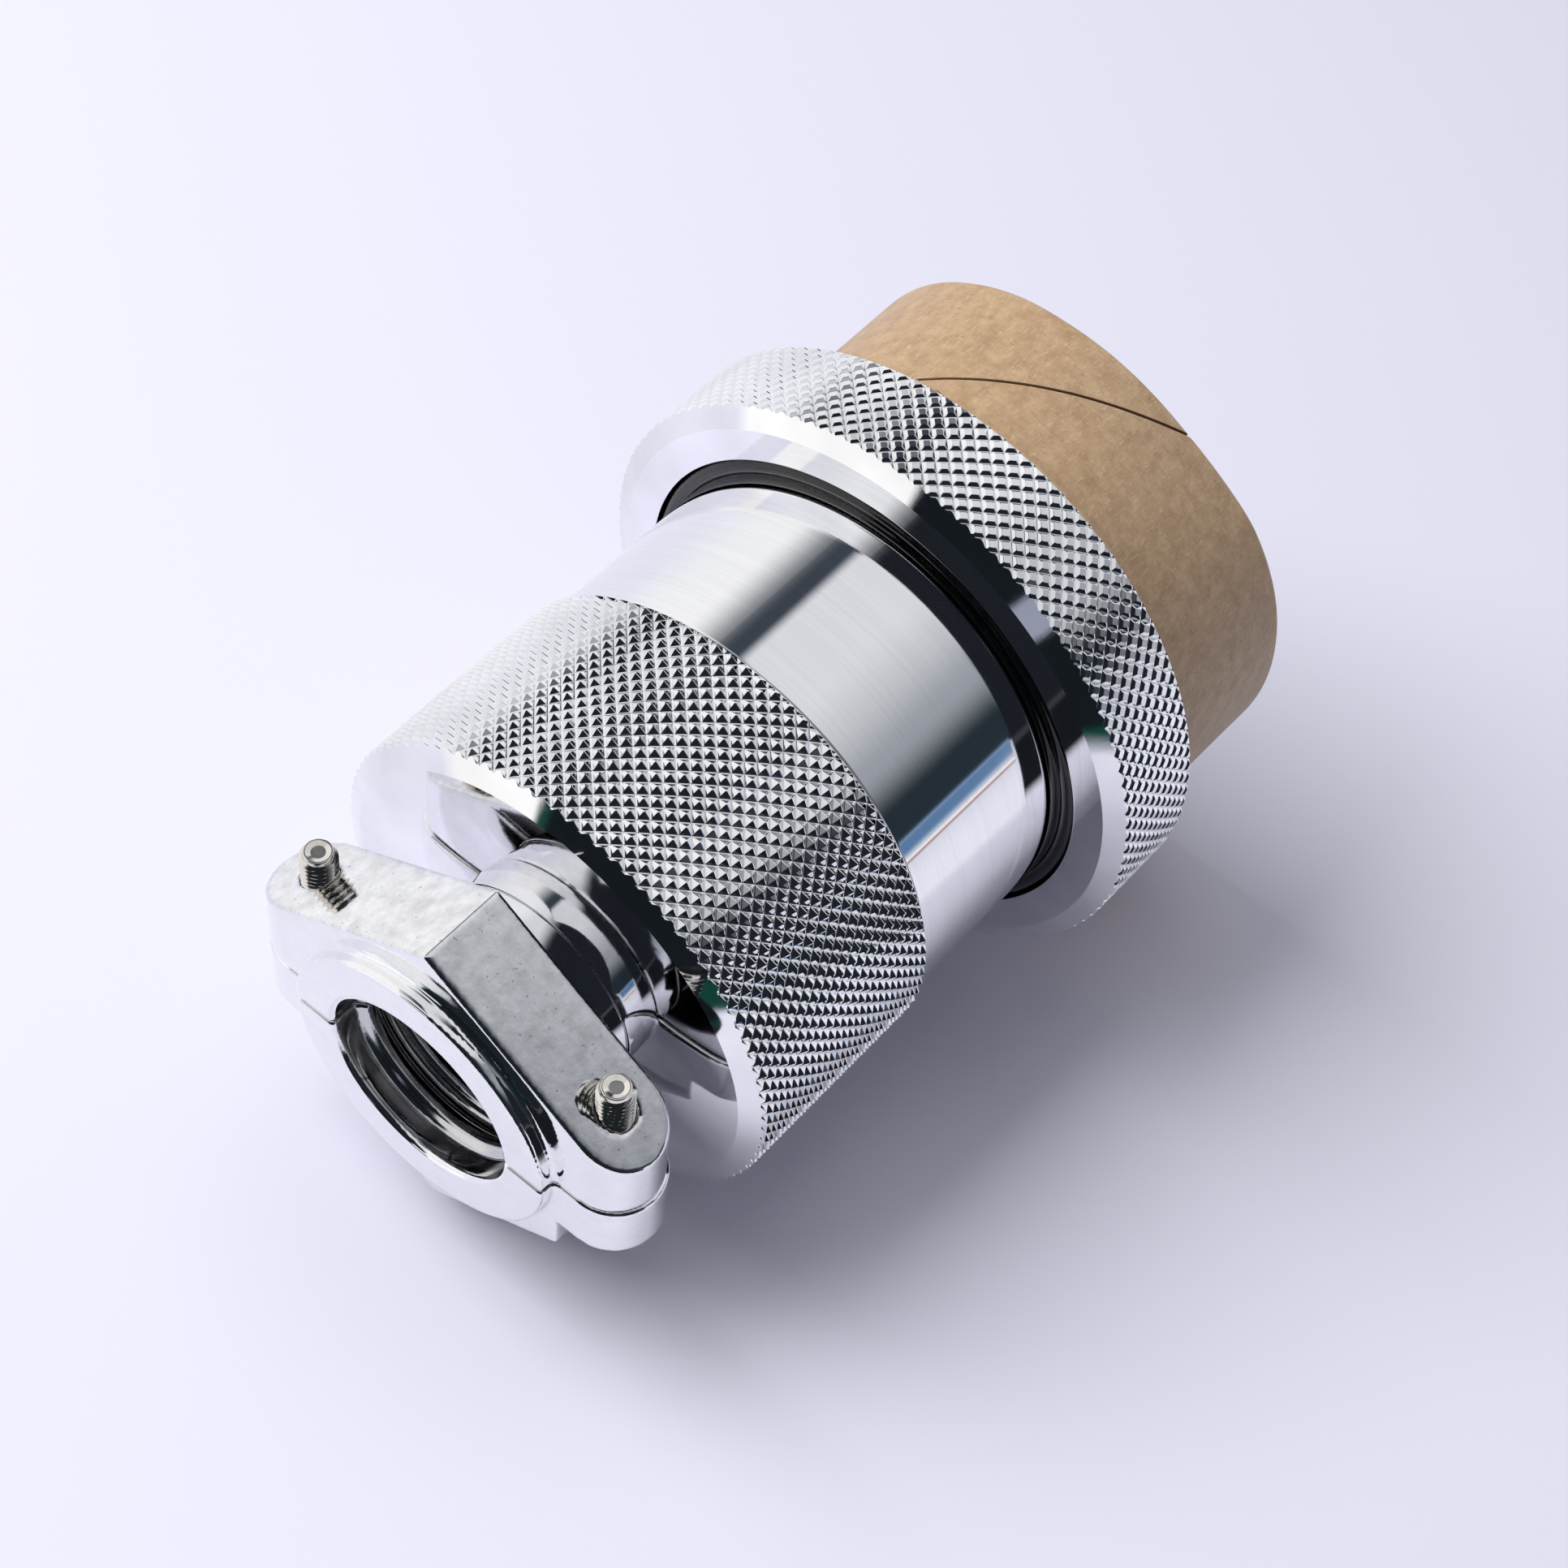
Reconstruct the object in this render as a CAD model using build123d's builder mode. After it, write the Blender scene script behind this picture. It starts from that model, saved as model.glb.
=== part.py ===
"""Round cable plug with a knurled coupling nut, a knurled gland nut and a two-part cable clamp.

The plug stands on its mating end, with the cable end up: +Z runs along the plug's axis out of the
cable clamp, and z = 0 is the free end of the paper sleeve that guards the mating end. The two clamp
screws lie along Y, with their tips pointing to -Y. Lengths are millimetres.
"""
import os
from math import cos, radians, tan

from build123d import *

# Running fits and gaps between pieces.
RUN = 0.06              # radial clearance of a turning or threaded pair
GAP = 0.3               # gap between faces that part when the plug is taken to pieces
SEAT = 0.02             # gap between faces that stay together

# Barrel: the smooth body that carries everything.
BARREL_R = 20.8
BARREL_SHOWN = 17.1     # smooth length between the two nuts
BARREL_WALL = 2.1       # wall behind the thread, down to the insert bore
FLANGE_STEP = 2.8       # how far the flange inside the coupling nut stands out
FLANGE_T = 1.75
NOSE_LEN = 6.1          # length of the nose in front of the flange
NOSE_LIP = 0.9          # lip that stops the insert at the front
NOSE_LIP_T = 2.0
NOSE_EDGE = 0.5
KEYWAY = (3.0, 1.0)     # width and depth of the groove that keys the nose
THREAD_STEP = 1.2       # step from the smooth surface down to the gland nut's thread
THREAD_LEN = 12.0
THREAD_EDGE = 0.5
MOUTH_WALL = 1.1        # wall around the sealing bush, inside the thread

# Coupling nut.
KNURL_DEPTH = 0.45
COUPLING_WALL = 2.2
COUPLING_LEN = 10.1
COUPLING_LIP = 2.7      # depth of the lip that the flange pulls on
COUPLING_CHAMFER = (2.05, 0.7)      # radial and axial size of the rear chamfer
COUPLING_EDGE = 0.9     # chamfer at the mating end
COUPLING_MOUTH = 0.6    # chamfer of the thread's mouth
FLANGE_RUN = 0.75       # gap around the flange
RING_SECTION = 1.6      # section of the rubber ring in the coupling nut's rear mouth
RING_GROOVE = 0.2       # depth of its groove in the barrel
RING_POCKET = 1.7       # depth of its pocket in the coupling nut
GASKET_T = 1.0

# Gland nut at the cable end, and what it presses.
GLAND_STEP = 0.85       # how far its knurl stands above the barrel
GLAND_CHAMFER = (2.35, 0.7)         # radial and axial size of the chamfer at the cable end
GLAND_CONE = 0.6        # rise of the end face from the chamfer to the neck hole
GLAND_END_T = 3.7       # end wall, from the pocket to the knurl's end
GLAND_EDGE = 0.45       # small chamfer at the other end of the knurl
BUSH_LEN = 6.5
BUSH_TAPER = 1.2
BUSH_GRIP = 0.3         # how much tighter the bush is than the neck bore
WASHER_T = 0.8
CLAMP_FLANGE_T = 2.3
CLAMP_FLANGE_STEP = 5.8

# Cable clamp.
CABLE_R = 7.5           # free bore through the neck
NECK_WALL = 1.7
NECK_SHOWN = 4.0        # neck that shows between the gland nut's face and the clamp's back
GRIP_STEP = 0.4         # the grip ridges stand this far outside the neck bore
GRIP_DEPTH = 0.8
GRIP_COUNT = 3
GRIP_SHAPE = (0.4, 0.55, 0.85)       # end of the land, start and end of the root, in shares of the pitch
GRIP_MOUTH = 0.5        # open mouth after the last ridge, in shares of the pitch
COLLAR_WALL = 4.8       # collar radius less the ridge radius
COLLAR_OUT = 1.4        # how far the collar stands out of the clamp's end face
COLLAR_MARGIN = 2.2     # metal between the collar and the sloping faces
SLOPE = 31.5            # angle of the sloping faces, degrees
CLAMP_T = 8.1           # thickness of the clamp along the plug's axis
SCREW_R = 1.5
SCREW_MARGIN = 0.68     # metal between collar and screw, seen along the axis
SCREW_REACH = 3.1       # how far the tips stand out of the sloping face, at the screw's axis
EAR_SHIFT = 0.3         # how far the ear's centre lies outside the screw
EAR_T = 6.0             # thickness of the fixed half's ears
BOSS_STEP = 0.3         # how far the fixed half's middle stands outside the collar
HEAD_R = 2.75
HEAD_H = 2.0
HEAD_PLAY = 0.25
HEAD_SLOT = (0.8, 0.9)  # width and depth
SCREW_PLAY = 0.2        # radial play in the fixed half
SCREW_TIP = 0.3
CLAMP_RIM = 0.4         # chamfer around the sloping faces
RIM_MARGIN = 0.5

# Insert and contacts.
INSERT_FRONT_T = 8.0
INSERT_REAR_T = 6.0
INSERT_BOSS = 1.7       # boss in the nose's lip
SNAP_RING = (1.1, 1.2)  # radial and axial size
SNAP_RING_MOUTH = 6.0
CONTACT_R = 1.2
CONTACT_BORE = 0.8
CONTACT_CUP = 4.0       # solder cup behind the insert
CONTACT_INSET = 1.2     # contact's end below the insert's front face
CONTACT_DEPTH = 8.0     # depth of the pin bore
CONTACT_MARGIN = 7.0    # from the circle of the contacts to the insert's bore
CONTACT_COUNT = 7

# Paper sleeve over the mating end.
SLEEVE_WALL = 1.1
SLEEVE_FIT = 1.35       # radial play in the coupling nut and over the nose
SLEEVE_TOUCH = 0.35     # play left on the side to which the sleeve has sunk
SLEEVE_SHOWN = 15.9     # length that stands out of the coupling nut
SLEEVE_LEAN = (-1.0, 0.0)           # direction in which it has sunk, across the axis

# Radii that follow.
FLANGE_R = BARREL_R + FLANGE_STEP
COUPLING_BORE = FLANGE_R + FLANGE_RUN
COUPLING_R = COUPLING_BORE + COUPLING_WALL + KNURL_DEPTH
RING_MID_R = BARREL_R - RING_GROOVE + SEAT + RING_SECTION / 2
RING_POCKET_R = RING_MID_R + RING_SECTION / 2 + RUN
THREAD_R = BARREL_R - THREAD_STEP
INSERT_BORE = THREAD_R - BARREL_WALL
BUSH_BORE = THREAD_R - MOUTH_WALL
CONTACT_CIRCLE = INSERT_BORE - CONTACT_MARGIN
GLAND_R = BARREL_R + GLAND_STEP
SLEEVE_R = COUPLING_BORE - SLEEVE_FIT
NOSE_R = SLEEVE_R - SLEEVE_WALL - SLEEVE_FIT
NECK_R = CABLE_R + NECK_WALL
CLAMP_FLANGE_R = NECK_R + CLAMP_FLANGE_STEP
GRIP_R = CABLE_R + GRIP_STEP
COLLAR_R = GRIP_R + COLLAR_WALL
SCREW_X = COLLAR_R + SCREW_MARGIN + SCREW_R
EAR_X = SCREW_X + EAR_SHIFT
APEX = (COLLAR_R + COLLAR_MARGIN) / cos(radians(SLOPE))
HEAD_SEAT = EAR_T - HEAD_H
BOSS_R = COLLAR_R + BOSS_STEP

# Heights that follow, from the sleeve's free end up.
COUPLING_Z = SLEEVE_SHOWN
COUPLING_TOP = COUPLING_Z + COUPLING_LEN
FLANGE_TOP = COUPLING_TOP - COUPLING_LIP - GAP
FLANGE_Z = FLANGE_TOP - FLANGE_T
NOSE_Z = FLANGE_Z - NOSE_LEN
SLEEVE_LEN = FLANGE_Z - GASKET_T - GAP
RING_Z = COUPLING_TOP - RING_SECTION / 2 - RUN
THREAD_Z = COUPLING_TOP + BARREL_SHOWN
BARREL_TOP = THREAD_Z + THREAD_LEN
INSERT_Z = NOSE_Z + NOSE_LIP_T
INSERT_TOP = INSERT_Z + INSERT_FRONT_T + INSERT_REAR_T + 2 * SEAT
BUSH_Z = BARREL_TOP - BUSH_LEN + GAP
WASHER_Z = BUSH_Z + BUSH_LEN + GAP
CLAMP_FLANGE_Z = WASHER_Z + WASHER_T + GAP
NECK_Z = CLAMP_FLANGE_Z + CLAMP_FLANGE_T
GLAND_POCKET_TOP = NECK_Z + GAP
GLAND_Z = THREAD_Z + GAP
GLAND_TOP = GLAND_POCKET_TOP + GLAND_END_T
FACE_TOP = GLAND_TOP + GLAND_CHAMFER[1] + GLAND_CONE
CLAMP_Z = FACE_TOP + NECK_SHOWN
CLAMP_MID = CLAMP_Z + CLAMP_T / 2
CLAMP_TOP = CLAMP_Z + CLAMP_T
COLLAR_TOP = CLAMP_TOP + COLLAR_OUT


def section(*points):
    """Closed profile in the plane of the axis, from radius and height pairs."""
    with BuildSketch(Plane.XZ) as drawing:
        with BuildLine():
            Polyline(*points, close=True)
        make_face()
    return drawing.sketch


def save(solid, name):
    solid.label = name
    export_step(solid, f"parts/{name}.step")


def make_barrel():
    """Smooth body: nose, flange, ring groove, grip surface and gland thread, turned in one piece."""
    lip_r = INSERT_BORE - NOSE_LIP
    groove_r = BARREL_R - RING_GROOVE
    groove_z = RING_Z - RING_SECTION / 2 - SEAT
    groove_top = RING_Z + RING_SECTION / 2 + SEAT
    snap_r = INSERT_BORE + SNAP_RING[0] / 2
    snap_z = INSERT_TOP + SEAT
    with BuildPart() as barrel:
        revolve(section(
            (lip_r, NOSE_Z), (NOSE_R - NOSE_EDGE, NOSE_Z), (NOSE_R, NOSE_Z + NOSE_EDGE), (NOSE_R, FLANGE_Z),
            (FLANGE_R, FLANGE_Z), (FLANGE_R, FLANGE_TOP), (BARREL_R, FLANGE_TOP), (BARREL_R, groove_z),
            (groove_r, groove_z), (groove_r, groove_top), (BARREL_R, groove_top), (BARREL_R, THREAD_Z),
            (THREAD_R, THREAD_Z), (THREAD_R, BARREL_TOP - THREAD_EDGE), (THREAD_R - THREAD_EDGE, BARREL_TOP),
            (BUSH_BORE, BARREL_TOP), (BUSH_BORE, BUSH_Z), (INSERT_BORE, BUSH_Z),
            (INSERT_BORE, snap_z + SNAP_RING[1] + SEAT), (snap_r, snap_z + SNAP_RING[1] + SEAT),
            (snap_r, snap_z - SEAT), (INSERT_BORE, snap_z - SEAT), (INSERT_BORE, INSERT_Z), (lip_r, INSERT_Z),
        ), axis=Axis.Z)
        with BuildSketch(Plane.XY.offset(NOSE_Z)):
            with Locations((0, -NOSE_R)):
                Rectangle(KEYWAY[0], 2 * KEYWAY[1])
        extrude(amount=FLANGE_Z - NOSE_Z, mode=Mode.SUBTRACT)
    return barrel.part


def make_coupling_nut():
    """Knurled nut that turns on the barrel: thread bore, lip behind the flange, pocket for the ring."""
    edge_r, edge_z = COUPLING_CHAMFER
    lip_z = COUPLING_TOP - COUPLING_LIP
    pocket_z = COUPLING_TOP - RING_POCKET
    with BuildPart() as nut:
        revolve(section(
            (COUPLING_BORE + COUPLING_MOUTH, COUPLING_Z), (COUPLING_R - COUPLING_EDGE, COUPLING_Z),
            (COUPLING_R, COUPLING_Z + COUPLING_EDGE), (COUPLING_R, COUPLING_TOP - edge_z),
            (COUPLING_R - edge_r, COUPLING_TOP), (RING_POCKET_R, COUPLING_TOP), (RING_POCKET_R, pocket_z),
            (BARREL_R + RUN, pocket_z), (BARREL_R + RUN, lip_z), (COUPLING_BORE, lip_z),
            (COUPLING_BORE, COUPLING_Z + COUPLING_MOUTH),
        ), axis=Axis.Z)
    return nut.part


def make_barrel_ring():
    """Round rubber ring that fills the coupling nut's mouth around the barrel."""
    with BuildPart() as ring:
        with BuildSketch(Plane.XZ):
            with Locations((RING_MID_R, RING_Z)):
                Circle(RING_SECTION / 2)
        revolve(axis=Axis.Z)
    return ring.part


def make_gasket():
    """Flat gasket around the nose, against the flange."""
    with BuildPart() as gasket:
        with BuildSketch(Plane.XY.offset(FLANGE_Z - GASKET_T)):
            Circle(FLANGE_R - GAP)
            Circle(NOSE_R + SEAT, mode=Mode.SUBTRACT)
        extrude(amount=GASKET_T - SEAT)
    return gasket.part


def contact_places():
    return [(0, 0)] + [(place.position.X, place.position.Y) for place in
                       PolarLocations(CONTACT_CIRCLE, CONTACT_COUNT).local_locations]


def make_insert(z, height, boss):
    """Moulded disc that holds the contacts; the front one has a boss in the nose's lip."""
    hole_r = CONTACT_R + SEAT
    with BuildPart() as insert:
        with BuildSketch(Plane.XY.offset(z)):
            Circle(INSERT_BORE - SEAT)
        extrude(amount=height)
        if boss:
            with BuildSketch(Plane.XY.offset(z)):
                Circle(INSERT_BORE - NOSE_LIP - SEAT)
            extrude(amount=-boss)
        with BuildSketch(Plane.XY.offset(z - boss)):
            with Locations(*contact_places()):
                Circle(CONTACT_BORE + SEAT)
        extrude(amount=height + boss, mode=Mode.SUBTRACT)
        with BuildSketch(Plane.XY.offset(z + CONTACT_INSET - boss if boss else z)):
            with Locations(*contact_places()):
                Circle(hole_r)
        extrude(amount=height + boss, mode=Mode.SUBTRACT)
    return insert.part


def make_contact(x, y):
    """Socket contact: pin bore at the mating end, solder cup with an open side behind the insert."""
    low = INSERT_Z - INSERT_BOSS + CONTACT_INSET + SEAT
    top = INSERT_TOP + CONTACT_CUP
    with BuildPart() as contact:
        with BuildSketch(Plane.XY.offset(low)):
            with Locations((x, y)):
                Circle(CONTACT_R)
        extrude(amount=top - low)
        with BuildSketch(Plane.XY.offset(low)):
            with Locations((x, y)):
                Circle(CONTACT_BORE)
        extrude(amount=CONTACT_DEPTH, mode=Mode.SUBTRACT)
        with BuildSketch(Plane.XY.offset(top)):
            with Locations((x, y)):
                Circle(CONTACT_BORE)
        extrude(amount=-CONTACT_CUP, mode=Mode.SUBTRACT)
        with BuildSketch(Plane.XY.offset(top)):
            with Locations((x, y - CONTACT_R)):
                Rectangle(2 * CONTACT_R, 2 * CONTACT_R)
        extrude(amount=-CONTACT_CUP / 2, mode=Mode.SUBTRACT)
    return contact.part


def make_snap_ring():
    """Open ring in the barrel's groove that keeps the insert in."""
    with BuildPart() as ring:
        with BuildSketch(Plane.XY.offset(INSERT_TOP + SEAT)):
            Circle(INSERT_BORE + SNAP_RING[0] / 2 - SEAT)
            Circle(INSERT_BORE - SNAP_RING[0] / 2, mode=Mode.SUBTRACT)
            with Locations((0, INSERT_BORE)):
                Rectangle(SNAP_RING_MOUTH, 4 * SNAP_RING[0], mode=Mode.SUBTRACT)
        extrude(amount=SNAP_RING[1])
    return ring.part


def make_gland_nut():
    """Knurled nut at the cable end: thread bore, pocket for the clamp's flange, coned end face."""
    edge_r, edge_z = GLAND_CHAMFER
    with BuildPart() as nut:
        revolve(section(
            (THREAD_R + RUN, GLAND_Z), (GLAND_R - GLAND_EDGE, GLAND_Z), (GLAND_R, GLAND_Z + GLAND_EDGE),
            (GLAND_R, GLAND_TOP), (GLAND_R - edge_r, GLAND_TOP + edge_z), (NECK_R + RUN, FACE_TOP),
            (NECK_R + RUN, GLAND_POCKET_TOP), (THREAD_R + RUN, GLAND_POCKET_TOP),
        ), axis=Axis.Z)
    return nut.part


def make_bush():
    """Rubber bush in the barrel's mouth, pressed onto the cable by the washer."""
    bore_r = CABLE_R - BUSH_GRIP
    with BuildPart() as bush:
        revolve(section(
            (bore_r, BUSH_Z + SEAT), (BUSH_BORE - SEAT, BUSH_Z + SEAT),
            (BUSH_BORE - SEAT, BUSH_Z + BUSH_LEN - BUSH_TAPER), (BUSH_BORE - BUSH_TAPER, BUSH_Z + BUSH_LEN),
            (bore_r, BUSH_Z + BUSH_LEN),
        ), axis=Axis.Z)
    return bush.part


def make_washer():
    """Plain washer between the bush and the clamp's flange."""
    with BuildPart() as washer:
        with BuildSketch(Plane.XY.offset(WASHER_Z)):
            Circle(CLAMP_FLANGE_R)
            Circle(CABLE_R + GAP, mode=Mode.SUBTRACT)
        extrude(amount=WASHER_T)
    return washer.part


def grip_profile():
    """Profile of the clamp's bore: ridges that bite on the cable, then the open mouth."""
    pitch = (CLAMP_T + COLLAR_OUT) / (GRIP_COUNT + GRIP_MOUTH)
    land, dip, rise = (share * pitch for share in GRIP_SHAPE)
    root_r = GRIP_R + GRIP_DEPTH
    points = [(0, CLAMP_Z), (GRIP_R, CLAMP_Z)]
    for ridge in range(GRIP_COUNT):
        z = CLAMP_Z + ridge * pitch
        points += [(GRIP_R, z + land), (root_r, z + dip)]
        if ridge < GRIP_COUNT - 1:
            points += [(root_r, z + rise), (GRIP_R, z + pitch)]
    return points + [(root_r, COLLAR_TOP), (0, COLLAR_TOP)]


def slope_at(x):
    """Height of the sloping faces above the clamp's split, x away from the middle."""
    return APEX - x * tan(radians(SLOPE))


def clamp_half(z, side, outline):
    """Block of one clamp half: rounded ears, two sloping faces and its half of the collar."""
    thick = CLAMP_TOP - z
    with BuildPart() as half:
        with BuildSketch(Plane.XZ.offset(-side * GAP / 2)):
            with Locations((0, z + thick / 2)):
                SlotCenterToCenter(2 * EAR_X, thick)
        extrude(amount=-side * APEX)
        with BuildSketch(Plane.XY.offset(z)):
            Polygon(*[(x, side * y) for x, y in outline], align=None)
        extrude(amount=thick, mode=Mode.INTERSECT)
        outer = half.faces().filter_by(lambda face: face.normal_at().Y * side > 0.5)
        rims = [edge for face in outer for edge in face.edges()
                if abs(edge.center().X) > RIM_MARGIN and not in_corner(edge.center())]
        chamfer(rims, CLAMP_RIM)
        with BuildSketch(Plane.XY.offset(CLAMP_TOP)):
            Circle(COLLAR_R)
            with Locations((0, -side * COLLAR_R)):
                Rectangle(2 * COLLAR_R, 2 * COLLAR_R + GAP, mode=Mode.SUBTRACT)
        extrude(amount=COLLAR_OUT)
    return half.part


def in_corner(place):
    """True in the inner corner between the fixed half's middle and one of its ears."""
    return abs(abs(place.X) - BOSS_R) < RIM_MARGIN and abs(place.Y - EAR_T) < RIM_MARGIN


def make_saddle():
    """Loose half of the clamp, with the threaded screw holes."""
    reach = APEX / tan(radians(SLOPE))
    gable = [(-reach, 0), (reach, 0), (0, APEX)]
    with BuildPart() as saddle:
        add(clamp_half(CLAMP_Z + GAP, -1, gable))
        revolve(section(*grip_profile()), axis=Axis.Z, mode=Mode.SUBTRACT)
        with BuildSketch(Plane.XZ):
            with Locations((-SCREW_X, CLAMP_MID), (SCREW_X, CLAMP_MID)):
                Circle(SCREW_R + RUN)
        extrude(amount=APEX, mode=Mode.SUBTRACT)
    return saddle.part


def make_clamp_body():
    """Fixed half of the clamp, cast with the neck and the flange that the gland nut holds."""
    side = [(EAR_X + CLAMP_T, 0), (EAR_X + CLAMP_T, EAR_T), (BOSS_R, EAR_T), (BOSS_R, slope_at(BOSS_R))]
    gable = side + [(0, APEX)] + [(-x, y) for x, y in reversed(side)]
    with BuildPart() as body:
        add(clamp_half(CLAMP_Z, 1, gable))
        revolve(section(
            (0, CLAMP_FLANGE_Z), (CLAMP_FLANGE_R, CLAMP_FLANGE_Z), (CLAMP_FLANGE_R, NECK_Z),
            (NECK_R, NECK_Z), (NECK_R, CLAMP_Z), (0, CLAMP_Z),
        ), axis=Axis.Z)
        with BuildSketch(Plane.XY.offset(CLAMP_FLANGE_Z)):
            Circle(CABLE_R)
        extrude(amount=CLAMP_Z - CLAMP_FLANGE_Z, mode=Mode.SUBTRACT)
        revolve(section(*grip_profile()), axis=Axis.Z, mode=Mode.SUBTRACT)
        with BuildSketch(Plane.XZ):
            with Locations((-SCREW_X, CLAMP_MID), (SCREW_X, CLAMP_MID)):
                Circle(SCREW_R + SCREW_PLAY)
        extrude(amount=-APEX, mode=Mode.SUBTRACT)
        with BuildSketch(Plane.XZ.offset(-HEAD_SEAT)):
            with Locations((-SCREW_X, CLAMP_MID), (SCREW_X, CLAMP_MID)):
                Circle(HEAD_R + HEAD_PLAY)
        extrude(amount=-APEX, mode=Mode.SUBTRACT)
    return body.part


def make_screw(x):
    """Clamp screw: slotted head under the fixed half, tip standing out of the saddle."""
    tip = slope_at(SCREW_X) + SCREW_REACH
    with BuildPart() as screw:
        with BuildSketch(Plane.XZ.offset(-HEAD_SEAT - SEAT)):
            with Locations((x, CLAMP_MID)):
                Circle(HEAD_R)
        extrude(amount=-HEAD_H)
        with BuildSketch(Plane.XZ.offset(-HEAD_SEAT - HEAD_H - SEAT)):
            with Locations((x, CLAMP_MID)):
                Rectangle(2 * HEAD_R, HEAD_SLOT[0])
        extrude(amount=HEAD_SLOT[1], mode=Mode.SUBTRACT)
        with BuildSketch(Plane.XZ.offset(-HEAD_SEAT - SEAT)):
            with Locations((x, CLAMP_MID)):
                Circle(SCREW_R)
        extrude(amount=HEAD_SEAT + SEAT + tip)
        chamfer(screw.edges().sort_by(Axis.Y)[0], SCREW_TIP)
    return screw.part


def make_sleeve():
    """Paper tube over the mating end; it has sunk to one side of the coupling nut."""
    shift = SLEEVE_FIT - SLEEVE_TOUCH
    with BuildPart() as sleeve:
        with BuildSketch():
            with Locations((shift * SLEEVE_LEAN[0], shift * SLEEVE_LEAN[1])):
                Circle(SLEEVE_R)
                Circle(SLEEVE_R - SLEEVE_WALL, mode=Mode.SUBTRACT)
        extrude(amount=SLEEVE_LEN)
    return sleeve.part


os.makedirs("parts", exist_ok=True)
save(make_barrel(), "plug_barrel")
save(make_coupling_nut(), "coupling_nut")
save(make_barrel_ring(), "barrel_ring")
save(make_gasket(), "face_gasket")
save(make_insert(INSERT_Z, INSERT_FRONT_T, INSERT_BOSS), "insert_front")
save(make_insert(INSERT_Z + INSERT_FRONT_T + SEAT, INSERT_REAR_T, 0), "insert_rear")
save(make_snap_ring(), "insert_snap_ring")
for number, (x, y) in enumerate(contact_places(), start=1):
    save(make_contact(x, y), f"contact_{number:02d}")
save(make_gland_nut(), "gland_nut")
save(make_bush(), "sealing_bush")
save(make_washer(), "gland_washer")
save(make_clamp_body(), "clamp_body")
save(make_saddle(), "clamp_saddle")
save(make_screw(SCREW_X), "clamp_screw_left")
save(make_screw(-SCREW_X), "clamp_screw_right")
save(make_sleeve(), "paper_sleeve")
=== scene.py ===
"""Round cable plug with two knurled nuts, a saddle clamp and a paper sleeve, dressed and lit.

Every piece is built in millimetres about the plug's axis, +Z out of the cable end, and is brought to
metres once, in its mesh. The table on which the plug lies in its picture touches the two nuts on +Y.
"""

import logging
import math
from dataclasses import dataclass, field
from enum import Enum
from typing import Callable, Iterable, Sequence

import bmesh
import bpy
from mathutils import Matrix, Vector


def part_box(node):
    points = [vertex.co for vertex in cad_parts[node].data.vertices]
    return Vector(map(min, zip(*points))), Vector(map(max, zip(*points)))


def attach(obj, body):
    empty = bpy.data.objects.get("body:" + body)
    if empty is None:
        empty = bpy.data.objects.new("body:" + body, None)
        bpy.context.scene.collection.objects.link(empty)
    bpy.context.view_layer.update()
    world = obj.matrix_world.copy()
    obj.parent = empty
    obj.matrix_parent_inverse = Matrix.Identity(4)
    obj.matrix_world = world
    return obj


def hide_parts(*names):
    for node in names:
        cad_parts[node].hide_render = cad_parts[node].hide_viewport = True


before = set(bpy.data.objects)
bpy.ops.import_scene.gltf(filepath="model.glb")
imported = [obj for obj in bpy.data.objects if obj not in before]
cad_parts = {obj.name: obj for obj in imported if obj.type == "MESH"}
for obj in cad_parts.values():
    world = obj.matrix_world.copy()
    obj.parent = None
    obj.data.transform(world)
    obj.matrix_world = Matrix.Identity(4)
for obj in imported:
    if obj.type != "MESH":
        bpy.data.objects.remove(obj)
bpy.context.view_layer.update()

MM = 0.001
TURN = 2 * math.pi

# Distance in millimetres below which two points of a mesh are one.
MERGE = 0.002

# Share of a side that a rounded corner may take, and share of that up to its guard point.
CORNER_ROOM = 0.45
GUARD_ROOM = 0.1

# How far a cutter stands past what it cuts, and half the side of one larger than any piece, in millimetres.
OVER = 1.0
WIDE = 30.0

Pair = tuple[float, float]
Triple = tuple[float, float, float]
Corner = Triple
Colour = Triple
Ring = list[bmesh.types.BMVert]
Carve = Callable[[float, float, float], float]
Socket = bpy.types.NodeSocket

log = logging.getLogger("cable_plug")


def node_span(node: str) -> Pair:
    """Lowest and highest point of a solid along the plug's axis.

    Args:
        node: Name of the solid.

    Returns:
        The two heights in millimetres.
    """
    low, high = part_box(node)
    return low.z / MM, high.z / MM


def node_reach(node: str) -> float:
    """Largest radius of a round solid about the plug's axis, in millimetres."""
    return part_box(node)[1].x / MM


def linear(colour: Colour) -> tuple[float, float, float, float]:
    """Shader colour for a colour given as it looks on the screen.

    Args:
        colour: Red, green and blue from 0 to 1, as displayed.

    Returns:
        The linear colour with full opacity.
    """
    values = [c / 12.92 if c <= 0.04045 else ((c + 0.055) / 1.055) ** 2.4 for c in colour]
    return values[0], values[1], values[2], 1.0


def dimmed(colour: Colour, share: float) -> tuple[float, float, float, float]:
    """Shader colour for a share of a colour given as it looks on the screen."""
    return linear(tuple(share * c for c in colour))


# Mesh making


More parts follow.
